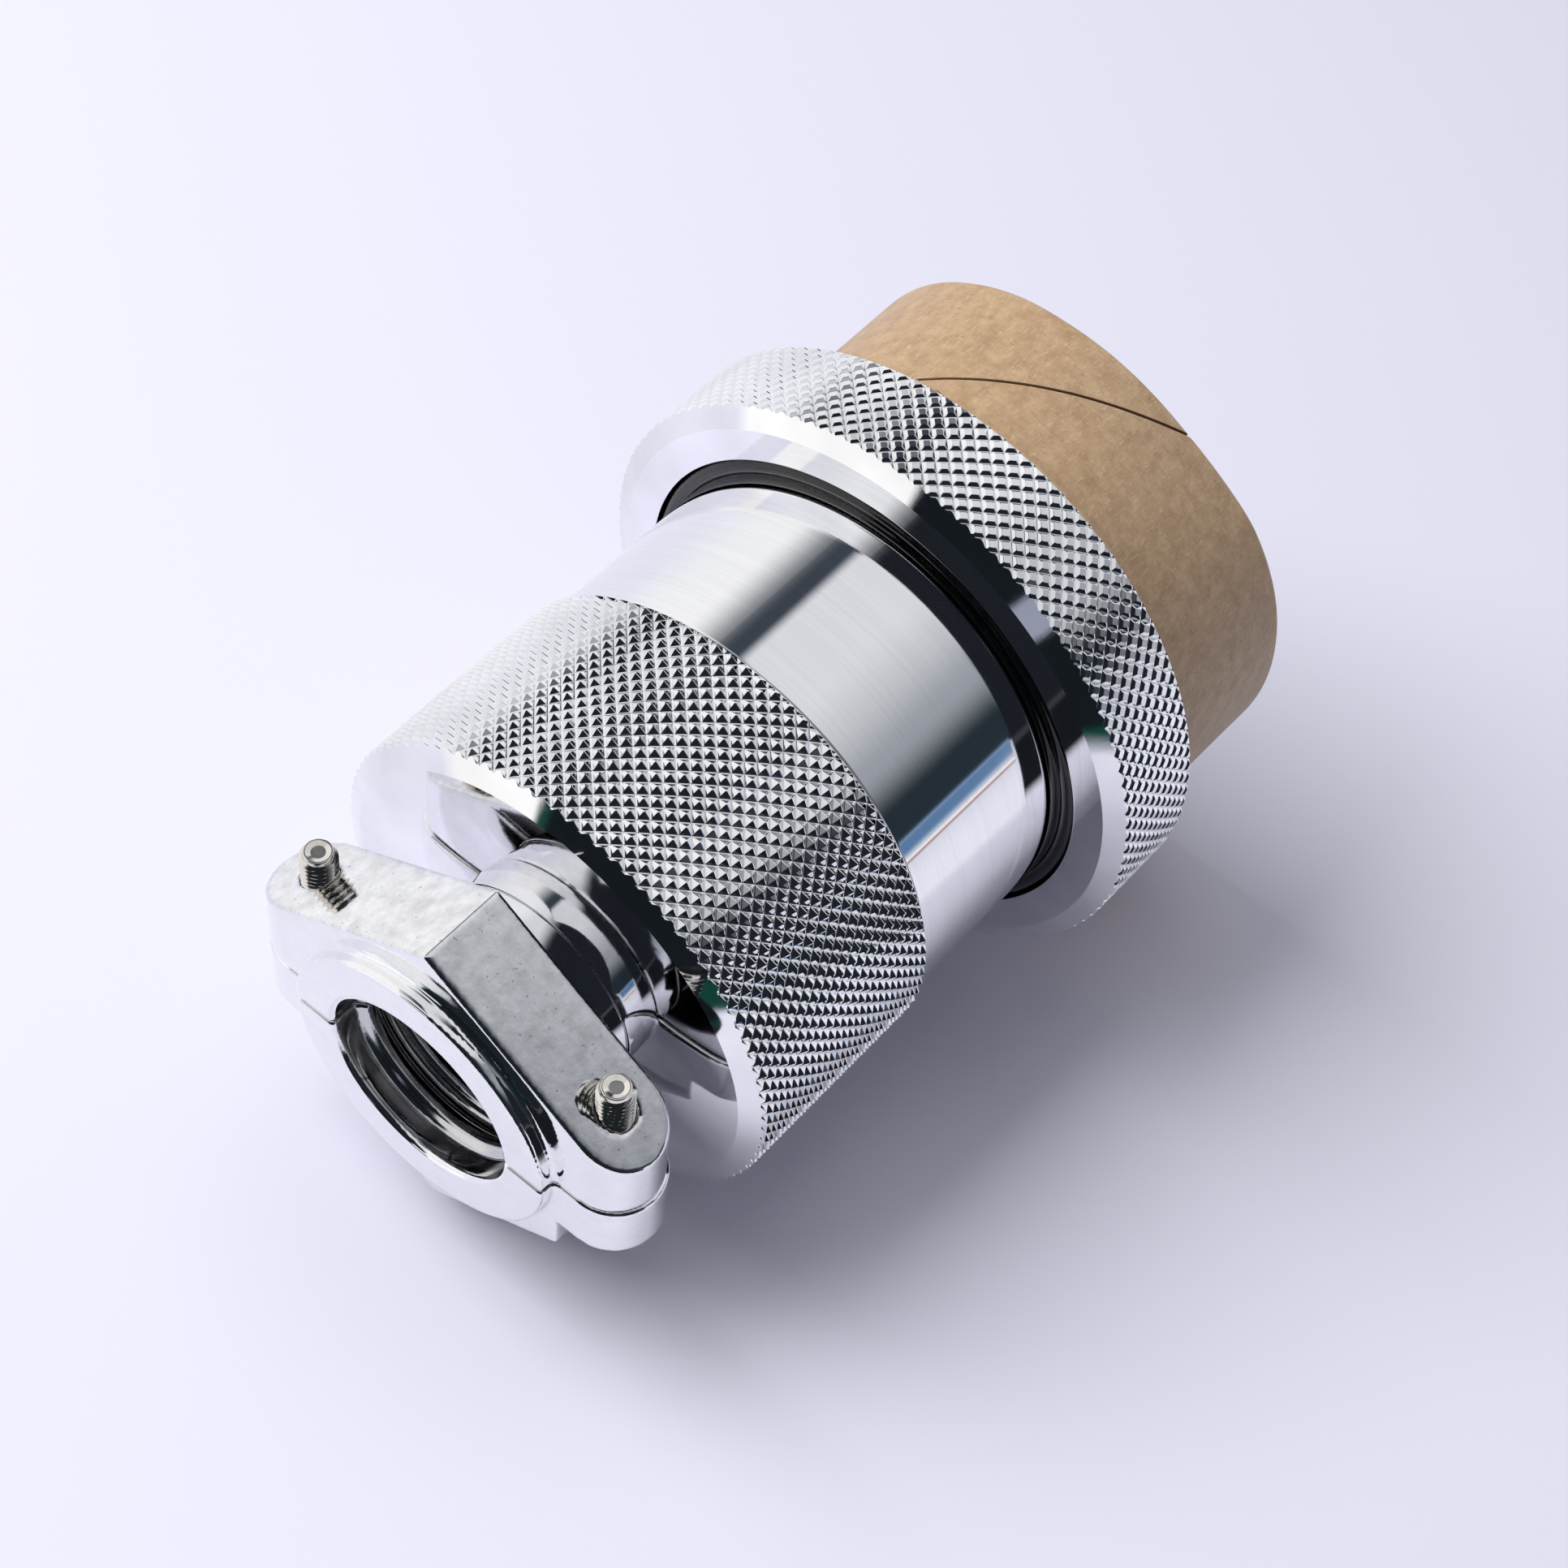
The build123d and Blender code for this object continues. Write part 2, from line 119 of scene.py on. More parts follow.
def rounded(corners: Sequence[Corner], steps: int = 3, guard: float = 0.05) -> list[Pair]:
    """Outline with rounded corners, and a guard point beside each so that flat runs shade flat.

    Args:
        corners: Radius, height and fillet of each corner of a closed outline.
        steps: Spans in each rounded corner.
        guard: Distance from a rounded corner to its guard points.

    Returns:
        The points of the outline, as radius and height.
    """
    points: list[Pair] = []
    count = len(corners)
    for index, (r, z, fillet) in enumerate(corners):
        here = Vector((r, z))
        before = Vector(corners[index - 1][:2]) - here
        after = Vector(corners[(index + 1) % count][:2]) - here
        if not fillet:
            points.append((r, z))
            continue
        room = CORNER_ROOM * min(before.length, after.length)
        half_turn = (math.pi - before.angle(after)) / 2
        setback = min(fillet * math.tan(half_turn), room)
        start, end = here + before.normalized() * setback, here + after.normalized() * setback
        edge = min(guard, GUARD_ROOM * room)
        points.append(tuple(start + before.normalized() * edge))
        for step in range(steps + 1):
            share = step / steps
            spot = start * (1 - share) ** 2 + here * 2 * share * (1 - share) + end * share ** 2
            points.append(tuple(spot))
        points.append(tuple(end + after.normalized() * edge))
    return points


def open_outline(corners: Sequence[Corner]) -> list[Pair]:
    """Rounded outline of an open run of corners, whose ends stay where they are."""
    outline = rounded(corners)
    return outline[outline.index(corners[0][:2]):outline.index(corners[-1][:2]) + 1]


def even_angles(count: int) -> list[float]:
    """Angles of evenly spaced segments about the axis."""
    return [TURN * index / count for index in range(count)]


def circle(radius: float, count: int, x: float = 0.0, y: float = 0.0) -> list[Pair]:
    """Points of a circle about a middle."""
    return [(x + radius * math.cos(angle), y + radius * math.sin(angle)) for angle in even_angles(count)]


def rectangle(half: float, low: float, high: float) -> list[Pair]:
    """Corners of a rectangle from -half to half in x, and from low to high in y."""
    return [(-half, low), (half, low), (half, high), (-half, high)]


def turn_into(bm: bmesh.types.BMesh, outline: Sequence[Pair], angles: Sequence[float],
              closed: bool = False, carve: Carve | None = None) -> list[Ring]:
    """Adds a skin turned about the axis to a mesh.

    Args:
        bm: Mesh that gets it.
        outline: Radius and height of each ring. A radius of 0 gives a single point.
        angles: Angles of the segments.
        closed: Whether the section runs back to its first point.
        carve: Radius in place of the outline's, from radius, height and angle.

    Returns:
        The rings of points, in the outline's order.
    """
    rings: list[Ring] = []
    for r, z in outline:
        if r <= 0:
            rings.append([bm.verts.new((0, 0, z))])
            continue
        radii = [carve(r, z, angle) if carve else r for angle in angles]
        rings.append([bm.verts.new((radius * math.cos(angle), radius * math.sin(angle), z))
                      for radius, angle in zip(radii, angles)])
    for first, second in zip(rings, rings[1:] + (rings[:1] if closed else [])):
        skin(bm, first, second)
    return rings


def skin(bm: bmesh.types.BMesh, first: Ring, second: Ring) -> None:
    """Faces between two rings of one count, or from a ring to a single point."""
    if len(first) == 1:
        first, second = second, first
    count = len(first)
    if count == 1:
        return
    for index in range(count):
        after = (index + 1) % count
        if len(second) == 1:
            bm.faces.new((first[index], first[after], second[0]))
        else:
            bm.faces.new((first[index], first[after], second[after], second[index]))


def turned(outline: Sequence[Pair], segments: int = 192) -> bmesh.types.BMesh:
    """Body turned about the axis, of a closed section."""
    bm = bmesh.new()
    turn_into(bm, outline, even_angles(segments), closed=True)
    return bm


def angle_of(vertex: bmesh.types.BMVert) -> float:
    """Angle of a point about the axis, from 0 to a full turn."""
    return math.atan2(vertex.co.y, vertex.co.x) % TURN


def walked(loop: Iterable[bmesh.types.BMVert]) -> Ring:
    """Points of an open border in the order in which they follow each other round the axis."""
    start = min(loop, key=angle_of)
    sides = [edge.other_vert(start) for edge in start.link_edges if edge.is_boundary]
    chain = [start, max(sides, key=lambda vertex: math.sin(angle_of(vertex) - angle_of(start)))]
    while chain[-1] is not start:
        here, before = chain[-1], chain[-2]
        chain.append(next(edge.other_vert(here) for edge in here.link_edges
                          if edge.is_boundary and edge.other_vert(here) is not before))
    return chain[:-1]


def unrolled(chain: Sequence[bmesh.types.BMVert]) -> list[float]:
    """Angles along a closed chain, without a jump at the full turn, and back to its first point."""
    angles = [angle_of(chain[0])]
    for vertex in [*chain[1:], chain[0]]:
        step = (angle_of(vertex) - angles[-1] + math.pi) % TURN - math.pi
        angles.append(angles[-1] + step)
    return angles


def zip_rings(bm: bmesh.types.BMesh, first: Ring, second: Ring) -> None:
    """Closes the strip between two closed chains that run the same way with any numbers of points.

    Args:
        bm: Mesh that holds the chains.
        first: Points of one chain, from its lowest angle on.
        second: Points of the other.
    """
    one, two = unrolled(first), unrolled(second)
    i = j = 0
    while i < len(first) or j < len(second):
        if j >= len(second) or (i < len(first) and one[i + 1] <= two[j + 1]):
            corners = (first[i], first[(i + 1) % len(first)], second[j % len(second)])
            i += 1
        else:
            corners = (first[i % len(first)], second[(j + 1) % len(second)], second[j])
            j += 1
        bm.faces.new(corners)


def crease(bm: bmesh.types.BMesh, border: set[bmesh.types.BMVert]) -> None:
    """Keeps the shading of the faces on either side of a border apart."""
    for edge in bm.edges:
        if edge.verts[0] in border and edge.verts[1] in border:
            edge.smooth = False


def open_loops(bm: bmesh.types.BMesh) -> list[set[bmesh.types.BMVert]]:
    """Groups of joined points on the open edges of a mesh."""
    links: dict[bmesh.types.BMVert, set[bmesh.types.BMVert]] = {}
    for edge in bm.edges:
        if edge.is_boundary:
            a, b = edge.verts
            links.setdefault(a, set()).add(b)
            links.setdefault(b, set()).add(a)
    loops = []
    while links:
        loop, queue = set(), [next(iter(links))]
        while queue:
            vertex = queue.pop()
            if vertex in links:
                loop.add(vertex)
                queue.extend(links.pop(vertex))
        loops.append(loop)
    return loops


def prism(outline: Sequence[Pair], low: float, high: float, turn: Matrix | None = None
          ) -> bmesh.types.BMesh:
    """Straight block of a flat outline.

    Args:
        outline: Points of the outline.
        low: Height of its bottom.
        high: Height of its top.
        turn: Places the block afterwards.

    Returns:
        The mesh.
    """
    bm = bmesh.new()
    rings = [[bm.verts.new((x, y, z)) for x, y in outline] for z in (low, high)]
    skin(bm, *rings)
    bm.faces.new(rings[0][::-1])
    bm.faces.new(rings[1])
    if turn:
        bm.transform(turn)
    bmesh.ops.recalc_face_normals(bm, faces=bm.faces)
    return bm


def to_mesh(bm: bmesh.types.BMesh, name: str) -> bpy.types.Mesh:
    """Plain mesh of a finished bmesh, with its doubles merged and its faces turned outwards."""
    bmesh.ops.remove_doubles(bm, verts=bm.verts, dist=MERGE)
    bmesh.ops.recalc_face_normals(bm, faces=bm.faces)
    mesh = bpy.data.meshes.new(name)
    bm.to_mesh(mesh)
    bm.free()
    return mesh


def spare_object(mesh: bpy.types.Mesh) -> bpy.types.Object:
    """Object that carries a mesh while modifiers work on it."""
    carrier = bpy.data.objects.new(mesh.name, mesh)
    bpy.context.scene.collection.objects.link(carrier)
    return carrier


def settle(carrier: bpy.types.Object) -> bpy.types.Mesh:
    """Turns an object with its modifiers into a plain mesh and removes the object.

    Args:
        carrier: Object that carries the modifiers.

    Returns:
        The mesh that they make.
    """
    bpy.context.view_layer.update()
    graph = bpy.context.evaluated_depsgraph_get()
    mesh = bpy.data.meshes.new_from_object(carrier.evaluated_get(graph), depsgraph=graph)
    bpy.data.objects.remove(carrier)
    return mesh


class Joining(Enum):
    """How one block works on another."""

    KEEP_COMMON = "INTERSECT"
    ADD = "UNION"
    CUT = "DIFFERENCE"


def combine(body: bpy.types.Mesh, steps: Sequence[tuple[Joining, bmesh.types.BMesh]]) -> bpy.types.Mesh:
    """Works blocks into a body, one after another.

    Args:
        body: Mesh to start from.
        steps: How each block joins, and the block.

    Returns:
        The finished mesh.
    """
    carrier = spare_object(body)
    tools = []
    for how, block in steps:
        tool = spare_object(to_mesh(block, "tool"))
        modifier = carrier.modifiers.new("work", "BOOLEAN")
        modifier.operation = how.value
        modifier.solver = "EXACT"
        modifier.object = tool
        tools.append(tool)
    mesh = settle(carrier)
    for tool in tools:
        bpy.data.objects.remove(tool)
    return mesh


def cast(mesh: bpy.types.Mesh, grain: float, passes: int, flat_degrees: float = 0.15) -> bpy.types.Mesh:
    """Gives a sharp-edged body the evenly rounded edges of a casting; its flat faces stay flat.

    Args:
        mesh: Closed mesh.
        grain: Size of the cells that it is recast in.
        passes: Number of smoothing passes, which sets the radius of the edges.
        flat_degrees: Turn below which neighbouring faces are joined into one.

    Returns:
        The casting.
    """
    carrier = spare_object(mesh)
    recast = carrier.modifiers.new("cells", "REMESH")
    recast.mode = "VOXEL"
    recast.voxel_size = grain
    soften = carrier.modifiers.new("edges", "SMOOTH")
    soften.iterations = passes
    thin = carrier.modifiers.new("flats", "DECIMATE")
    thin.decimate_type = "DISSOLVE"
    thin.angle_limit = math.radians(flat_degrees)
    finished = settle(carrier)
    finished.shade_smooth()
    return finished


def shade(mesh: bpy.types.Mesh, sharp_degrees: float | None = 40) -> None:
    """Shades a mesh smooth, apart from edges that turn more than an angle."""
    mesh.shade_smooth()
    if sharp_degrees is not None:
        mesh.set_sharp_from_angle(angle=math.radians(sharp_degrees))


# Node trees


class Nodes:
    """Node tree under construction, with the few steps that all of them share."""

    def __init__(self, tree: bpy.types.NodeTree) -> None:
        """Starts on a tree.

        Args:
            tree: The tree that gets the nodes.
        """
        self.tree = tree

    def feed(self, socket: Socket, value: object) -> None:
        """Links a socket, or sets its own value."""
        if isinstance(value, Socket):
            self.tree.links.new(value, socket)
        else:
            socket.default_value = value

    def add(self, kind: str, **inputs: object) -> bpy.types.Node:
        """New node with some of its inputs set or linked.

        Args:
            kind: The node's type.
            inputs: Value or socket for each input, by name with underscores for spaces.

        Returns:
            The node.
        """
        node = self.tree.nodes.new(kind)
        for label, value in inputs.items():
            self.feed(node.inputs[label.replace("_", " ")], value)
        return node

    def math(self, operation: str, *values: object) -> Socket:
        """Result of a math node."""
        node = self.tree.nodes.new("ShaderNodeMath")
        node.operation = operation
        for socket, value in zip(node.inputs, values):
            self.feed(socket, value)
        return node.outputs[0]

    def along(self, place: Socket, axis: Vector) -> Socket:
        """Share of a vector that runs along an axis."""
        node = self.tree.nodes.new("ShaderNodeVectorMath")
        node.operation = "DOT_PRODUCT"
        self.feed(node.inputs[0], place)
        node.inputs[1].default_value = axis
        return node.outputs["Value"]

    def smooth(self, value: object, low: float, high: float) -> Socket:
        """Smooth step from 0 at low to 1 at high."""
        node = self.tree.nodes.new("ShaderNodeMapRange")
        node.interpolation_type = "SMOOTHSTEP"
        for socket, number in zip(node.inputs, (value, low, high, 0.0, 1.0)):
            self.feed(socket, number)
        return node.outputs[0]

    def blend(self, factor: object, first: object, second: object) -> Socket:
        """Mixes two colours.

        Args:
            factor: Share of the second.
            first: Colour or socket.
            second: Colour or socket.

        Returns:
            The mixed colour.
        """
        node = self.tree.nodes.new("ShaderNodeMix")
        node.data_type = "RGBA"
        for socket, value in zip((node.inputs[0], node.inputs[6], node.inputs[7]), (factor, first, second)):
            self.feed(socket, value)
        return node.outputs[2]


class FieldTree(Nodes):
    """Geometry node tree with named inputs."""

    def __init__(self, name: str) -> None:
        """Starts the tree with its geometry input and output.

        Args:
            name: The tree's name.
        """
        super().__init__(bpy.data.node_groups.new(name, "GeometryNodeTree"))
        self.name = name
        self.tree.interface.new_socket("Geometry", in_out="INPUT", socket_type="NodeSocketGeometry")
        self.tree.interface.new_socket("Geometry", in_out="OUTPUT", socket_type="NodeSocketGeometry")
        self.entry = self.tree.nodes.new("NodeGroupInput")

    def declare(self, **inputs: str) -> None:
        """Adds named inputs, each with the kind of its socket."""
        for label, kind in inputs.items():
            self.tree.interface.new_socket(label.replace("_", " "), in_out="INPUT",
                                           socket_type=f"NodeSocket{kind}")

    def given(self, label: str) -> Socket:
        """Socket that carries a named input."""
        return self.entry.outputs[label]

    def vector(self, x: object, y: object, z: object) -> Socket:
        """Vector from three numbers or sockets."""
        return self.add("ShaderNodeCombineXYZ", X=x, Y=y, Z=z).outputs[0]

    def finish(self, geometry: Socket) -> None:
        """Ends the tree: instances become mesh and take their material."""
        solid = self.add("GeometryNodeRealizeInstances", Geometry=geometry)
        dressed = self.add("GeometryNodeSetMaterial", Geometry=solid.outputs[0],
                           Material=self.given("Finish"))
        end = self.tree.nodes.new("NodeGroupOutput")
        self.tree.links.new(dressed.outputs[0], end.inputs[0])

    def run(self, mesh: bpy.types.Mesh, **values: object) -> bpy.types.Mesh:
        """Runs the tree on a mesh and returns the result as a plain mesh.

        Args:
            mesh: Mesh that goes in.
            values: Value of each named input, with underscores for spaces.

        Returns:
            The mesh that comes out.
        """
        carrier = spare_object(mesh)
        modifier = carrier.modifiers.new(self.name, "NODES")
        modifier.node_group = self.tree
        sockets = {item.name: item.identifier for item in self.tree.interface.items_tree
                   if item.in_out == "INPUT"}
        for label, value in values.items():
            modifier[sockets[label.replace("_", " ")]] = value
        return settle(carrier)


def knurl_tree() -> FieldTree:
    """Tree that lays one diamond out in staggered rows on a flat strip.

    Returns:
        The tree. Its inputs are the diamonds in a row, the rows, the diagonal of a diamond, the height of
        the first row and the finish.
    """
    tree = FieldTree("knurl_field")
    tree.declare(Across="Int", Rows="Int", Pitch="Float", Start="Float", Finish="Material")
    total = tree.math("MULTIPLY", tree.given("Across"), tree.given("Rows"))
    points = tree.add("GeometryNodePoints", Count=total)
    index = tree.add("GeometryNodeInputIndex").outputs[0]
    row = tree.math("FLOOR", tree.math("DIVIDE", tree.math("ADD", index, 0.5), tree.given("Across")))
    column = tree.math("SUBTRACT", index, tree.math("MULTIPLY", row, tree.given("Across")))
    stagger = tree.math("MULTIPLY", tree.math("MODULO", row, 2.0), 0.5)
    along = tree.math("MULTIPLY", tree.math("ADD", column, stagger), tree.given("Pitch"))
    half_row = tree.math("MULTIPLY", row, 0.5)
    up = tree.math("MULTIPLY_ADD", half_row, tree.given("Pitch"), tree.given("Start"))
    placed = tree.add("GeometryNodeSetPosition", Geometry=points.outputs[0],
                      Position=tree.vector(along, up, 0.0))
    cells = tree.add("GeometryNodeInstanceOnPoints", Points=placed.outputs[0],
                     Instance=tree.given("Geometry"))
    tree.finish(cells.outputs[0])
    return tree


def thread_tree(flank: float = 1.3, root: float = 0.12) -> FieldTree:
    """Tree that wraps a flat grid into a tube with a screw thread, which fades out at both ends.

    Args:
        flank: Steepness of the flanks, 1 for a thread without flats.
        root: How far the flanks are cut off at the root, as a share of the height.

    Returns:
        The tree. Its inputs are the fields of a ThreadedTube.
    """
    tree = FieldTree("screw_thread")
    tree.declare(Around="Int", Rings="Int", Base="Float", Height="Float", Pitch="Float", Low="Float",
                 High="Float", Fade="Float", Finish="Material")
    columns = tree.math("ADD", tree.given("Around"), 1.0)
    grid = tree.add("GeometryNodeMeshGrid", Size_X=1.0, Size_Y=1.0, Vertices_X=columns,
                    Vertices_Y=tree.given("Rings"))
    place = tree.add("ShaderNodeSeparateXYZ", Vector=tree.add("GeometryNodeInputPosition").outputs[0])
    share = tree.math("ADD", place.outputs[0], 0.5)
    span = tree.math("SUBTRACT", tree.given("High"), tree.given("Low"))
    level = tree.math("MULTIPLY_ADD", tree.math("ADD", place.outputs[1], 0.5), span, tree.given("Low"))
    phase = tree.math("FRACT", tree.math("SUBTRACT", tree.math("DIVIDE", level, tree.given("Pitch")), share))
    ridge = tree.math("ABSOLUTE", tree.math("MULTIPLY_ADD", phase, 2.0, -1.0))
    form = tree.math("MULTIPLY_ADD", ridge, flank, -root)
    form = tree.math("MINIMUM", tree.math("MAXIMUM", form, 0.0), 1.0)
    ends = tree.math("MINIMUM", tree.math("SUBTRACT", level, tree.given("Low")),
                     tree.math("SUBTRACT", tree.given("High"), level))
    fade = tree.math("MINIMUM", tree.math("DIVIDE", ends, tree.given("Fade")), 1.0)
    height = tree.math("MULTIPLY", tree.given("Height"), tree.math("MULTIPLY", form, fade))
    radius = tree.math("ADD", tree.given("Base"), height)
    angle = tree.math("MULTIPLY", share, TURN)
    spot = tree.vector(tree.math("MULTIPLY", radius, tree.math("COSINE", angle)),
                       tree.math("MULTIPLY", radius, tree.math("SINE", angle)), level)
    wrapped = tree.add("GeometryNodeSetPosition", Geometry=grid.outputs[0], Position=spot)
    sealed = tree.add("GeometryNodeMergeByDistance", Geometry=wrapped.outputs[0], Distance=MERGE)
    tree.finish(sealed.outputs[0])
    return tree


# Finishes


@dataclass(frozen=True)
class Grain:
    """Noise pattern of a finish, laid in the object's own coordinates.

    Attributes:
        scale: Cells for each metre, the same along each axis or one for each.
        detail: Octaves.
        rough: Strength of the finer octaves.
        span: Noise values that become 0 and 1. Without them the noise stays as it is.
        turn: Turn about each axis of a pattern with three scales, in radians.
    """

    scale: float | Triple
    detail: float = 2.0
    rough: float = 0.5
    span: Pair | None = None
    turn: Triple = (0.0, 0.0, 0.0)


class Shader(Nodes):
    """Material under construction, with the few node kinds that the finishes use."""

    def __init__(self, name: str) -> None:
        """Starts a material with its principled shader.

        Args:
            name: The material's name.
        """
        self.material = bpy.data.materials.new(name)
        self.material.use_nodes = True
        super().__init__(self.material.node_tree)
        self.surface = self.tree.nodes["Principled BSDF"]
        self.place = self.tree.nodes.new("ShaderNodeTexCoord").outputs["Object"]

    def set(self, **inputs: object) -> None:
        """Sets or links inputs of the shader, by name with underscores for spaces."""
        for label, value in inputs.items():
            self.feed(self.surface.inputs[label.replace("_", " ")], value)

    def mapped(self, scale: Triple, turn: Triple = (0.0, 0.0, 0.0)) -> Socket:
        """Object coordinates, turned and then stretched.

        Args:
            scale: Stretch along each axis.
            turn: Turn about each axis, in radians.

        Returns:
            The coordinates.
        """
        node = self.add("ShaderNodeMapping", Vector=self.place, Rotation=turn, Scale=scale)
        return node.outputs[0]

    def grain(self, pattern: Grain) -> Socket:
        """Value of a noise pattern."""
        scale, place = pattern.scale, self.place
        if isinstance(scale, tuple):
            scale, place = 1.0, self.mapped(scale, pattern.turn)
        node = self.add("ShaderNodeTexNoise", Vector=place, Scale=scale, Detail=pattern.detail,
                        Roughness=pattern.rough)
        return self.spread(node.outputs[0], *pattern.span) if pattern.span else node.outputs[0]

    def between(self, value: Socket, start: float, end: float) -> Socket:
        """Number that runs from one to another as a value runs from 0 to 1."""
        return self.spread(value, 0.0, 1.0, start, end)

    def product(self, *values: object) -> Socket:
        """Product of two or more values."""
        result = values[0]
        for value in values[1:]:
            result = self.math("MULTIPLY", result, value)
        return result

    def spread(self, value: Socket, low: float, high: float, to_low: float = 0.0,
               to_high: float = 1.0) -> Socket:
        """Stretches part of a value's range, clamped at both ends.

        Args:
            value: The value.
            low: Where the part starts.
            high: Where it ends.
            to_low: Result at its start.
            to_high: Result at its end.

        Returns:
            The stretched value.
        """
        node = self.tree.nodes.new("ShaderNodeMapRange")
        for socket, number in zip(node.inputs, (value, low, high, to_low, to_high)):
            self.feed(socket, number)
        return node.outputs[0]

    def bump(self, height: Socket, depth_mm: float, under: Socket | None = None) -> Socket:
        """Normal bent by a height.

        Args:
            height: Height from 0 to 1.
            depth_mm: Depth of a full step, in millimetres.
            under: Normal that this one builds on.

        Returns:
            The normal.
        """
        node = self.add("ShaderNodeBump", Height=height, Strength=1.0, Distance=depth_mm * MM)
        if under:
            self.tree.links.new(under, node.inputs["Normal"])
        return node.outputs[0]


@dataclass(frozen=True)
class Plated:
    """Chrome or nickel plate on turned or knurled metal.

    Attributes:
        name: Material name.
        colour: Tint of the metal.
        faded: Tint of its faded patches, as a share of the colour.
        gloss: Roughness of the clean plate.
        haze: Extra roughness where the plate is dull.
        ripple: Bump of the slow waves in the surface, in millimetres.
        pits: Bump of fine pits, in millimetres.
        dull: Pattern of the dull patches.
        tint: Pattern of the faded patches.
        waves: Pattern of the waves.
        pitting: Pattern of the pits.
    """

    name: str
    colour: Colour = (0.97, 0.97, 0.975)
    faded: float = 0.94
    gloss: float = 0.03
    haze: float = 0.04
    ripple: float = 0.004
    pits: float = 0.0004
    dull: Grain = Grain(420.0, 4.0, 0.6, (0.42, 0.75))
    tint: Grain = Grain(140.0, 3.0, span=(0.35, 0.7))
    waves: Grain = Grain(260.0, rough=0.45)
    pitting: Grain = Grain(5200.0, 3.0, 0.65)

    def build(self) -> bpy.types.Material:
        """Material of the finish."""
        shader = Shader(self.name)
        tint = shader.blend(shader.grain(self.tint), linear(self.colour), dimmed(self.colour, self.faded))
        rough = shader.between(shader.grain(self.dull), self.gloss, self.gloss + self.haze)
        waves = shader.bump(shader.grain(self.waves), self.ripple)
        shader.set(Base_Color=tint, Metallic=1.0, Roughness=rough,
                   Normal=shader.bump(shader.grain(self.pitting), self.pits, waves))
        return shader.material


@dataclass(frozen=True)
class CastChrome:
    """Chrome plate on an uneven casting: cloudy, with specks, rougher inside its bore and darkened there with
    painted shade.

    Attributes:
        name: Material name.
        colour: Tint of the metal.
        cloud: Tint of its duller patches, as a share of the colour.
        speck: Colour of its specks.
        speck_share: How much of that colour a speck takes.
        relief: Bump of the casting's skin, and of its slow waves, in millimetres.
        gloss: Roughness of the plate.
        haze: Extra roughness of the duller patches.
        bore: Radius within which the plate is rougher and darkened with painted shade, in millimetres.
        bore_gloss: Extra roughness there.
        bore_painted_shade: Darker tint there, a painted shade of the recess, as a share of the colour.
        bore_top: Height above which the bore is bright again, in millimetres.
        bore_rim: Width of the change at that radius and at that height, in millimetres.
        roof: Slope in degrees and height in millimetres of the roof faces, which are the cloudiest.
        roof_rim: Distances from the roof faces at which their clouds start to fade and have faded.
        plain: Share of the clouds on all other faces.
        clouds: Pattern of the duller patches.
        specks: Pattern of the specks.
        skin: Pattern of the casting's skin.
        waves: Pattern of the slow waves.
    """

    name: str
    colour: Colour = (0.97, 0.97, 0.975)
    cloud: float = 0.88
    speck: Colour = (0.32, 0.32, 0.33)
    speck_share: float = 0.55
    relief: Pair = (0.010, 0.010)
    gloss: float = 0.035
    haze: float = 0.05
    bore: float = 8.85
    bore_gloss: float = 0.1
    bore_painted_shade: float = 0.82
    bore_top: float = 76.9
    bore_rim: Pair = (0.2, 0.4)
    roof: Pair = (31.5, 17.475)
    roof_rim: Pair = (0.15, 0.45)
    plain: float = 0.2
    clouds: Grain = Grain(700.0, 5.0, 0.62, (0.34, 0.68))
    specks: Grain = Grain(3600.0, 1.0, span=(0.70, 0.78))
    skin: Grain = Grain(950.0, 3.0)
    waves: Grain = Grain(240.0)

    def roof_share(self, shader: Shader) -> Socket:
        """Share of the clouds: 1 on the roof faces, less on all others."""
        x, y, _ = shader.add("ShaderNodeSeparateXYZ", Vector=shader.place).outputs
        slope, apex = self.roof
        fall = shader.product(shader.math("ABSOLUTE", x), math.tan(math.radians(slope)))
        level = shader.math("ADD", shader.math("SUBTRACT", shader.math("ABSOLUTE", y), apex * MM), fall)
        near, far = self.roof_rim
        return shader.spread(shader.math("ABSOLUTE", level), near * MM, far * MM, 1.0, self.plain)

    def bore_share(self, shader: Shader) -> Socket:
        """Share of the rougher plate and of its painted shade: 1 in the bore, 0 outside it."""
        flat = shader.add("ShaderNodeVectorMath")
        flat.operation = "LENGTH"
        shader.feed(flat.inputs[0], shader.mapped((1.0, 1.0, 0.0)))
        height = shader.add("ShaderNodeSeparateXYZ", Vector=shader.place).outputs[2]
        side, top = self.bore_rim
        inside = shader.spread(flat.outputs["Value"], self.bore * MM, (self.bore + side) * MM, 1.0, 0.0)
        below = shader.spread(height, (self.bore_top - top) * MM, self.bore_top * MM, 1.0, 0.0)
        return shader.product(inside, below)

    def build(self) -> bpy.types.Material:
        """Material of the finish."""
        shader = Shader(self.name)
        on_roof, in_bore = self.roof_share(shader), self.bore_share(shader)
        clouded = shader.product(shader.grain(self.clouds), on_roof)
        specked = shader.product(shader.grain(self.specks), on_roof, self.speck_share)
        tint = shader.blend(clouded, linear(self.colour), dimmed(self.colour, self.cloud))
        tint = shader.blend(specked, tint, linear(self.speck))
        # Painted shade: the bore's tint is darkened to stand for the shade in the recess.
        tint = shader.blend(in_bore, tint, dimmed(self.colour, self.bore_painted_shade))
        rough = shader.math("ADD", shader.between(clouded, self.gloss, self.gloss + self.haze),
                            shader.product(in_bore, self.bore_gloss))
        fine, slow = self.relief
        skinned = shader.bump(shader.product(shader.grain(self.skin), on_roof), fine)
        shader.set(Base_Color=tint, Metallic=1.0, Roughness=rough,
                   Normal=shader.bump(shader.grain(self.waves), slow, skinned))
        return shader.material


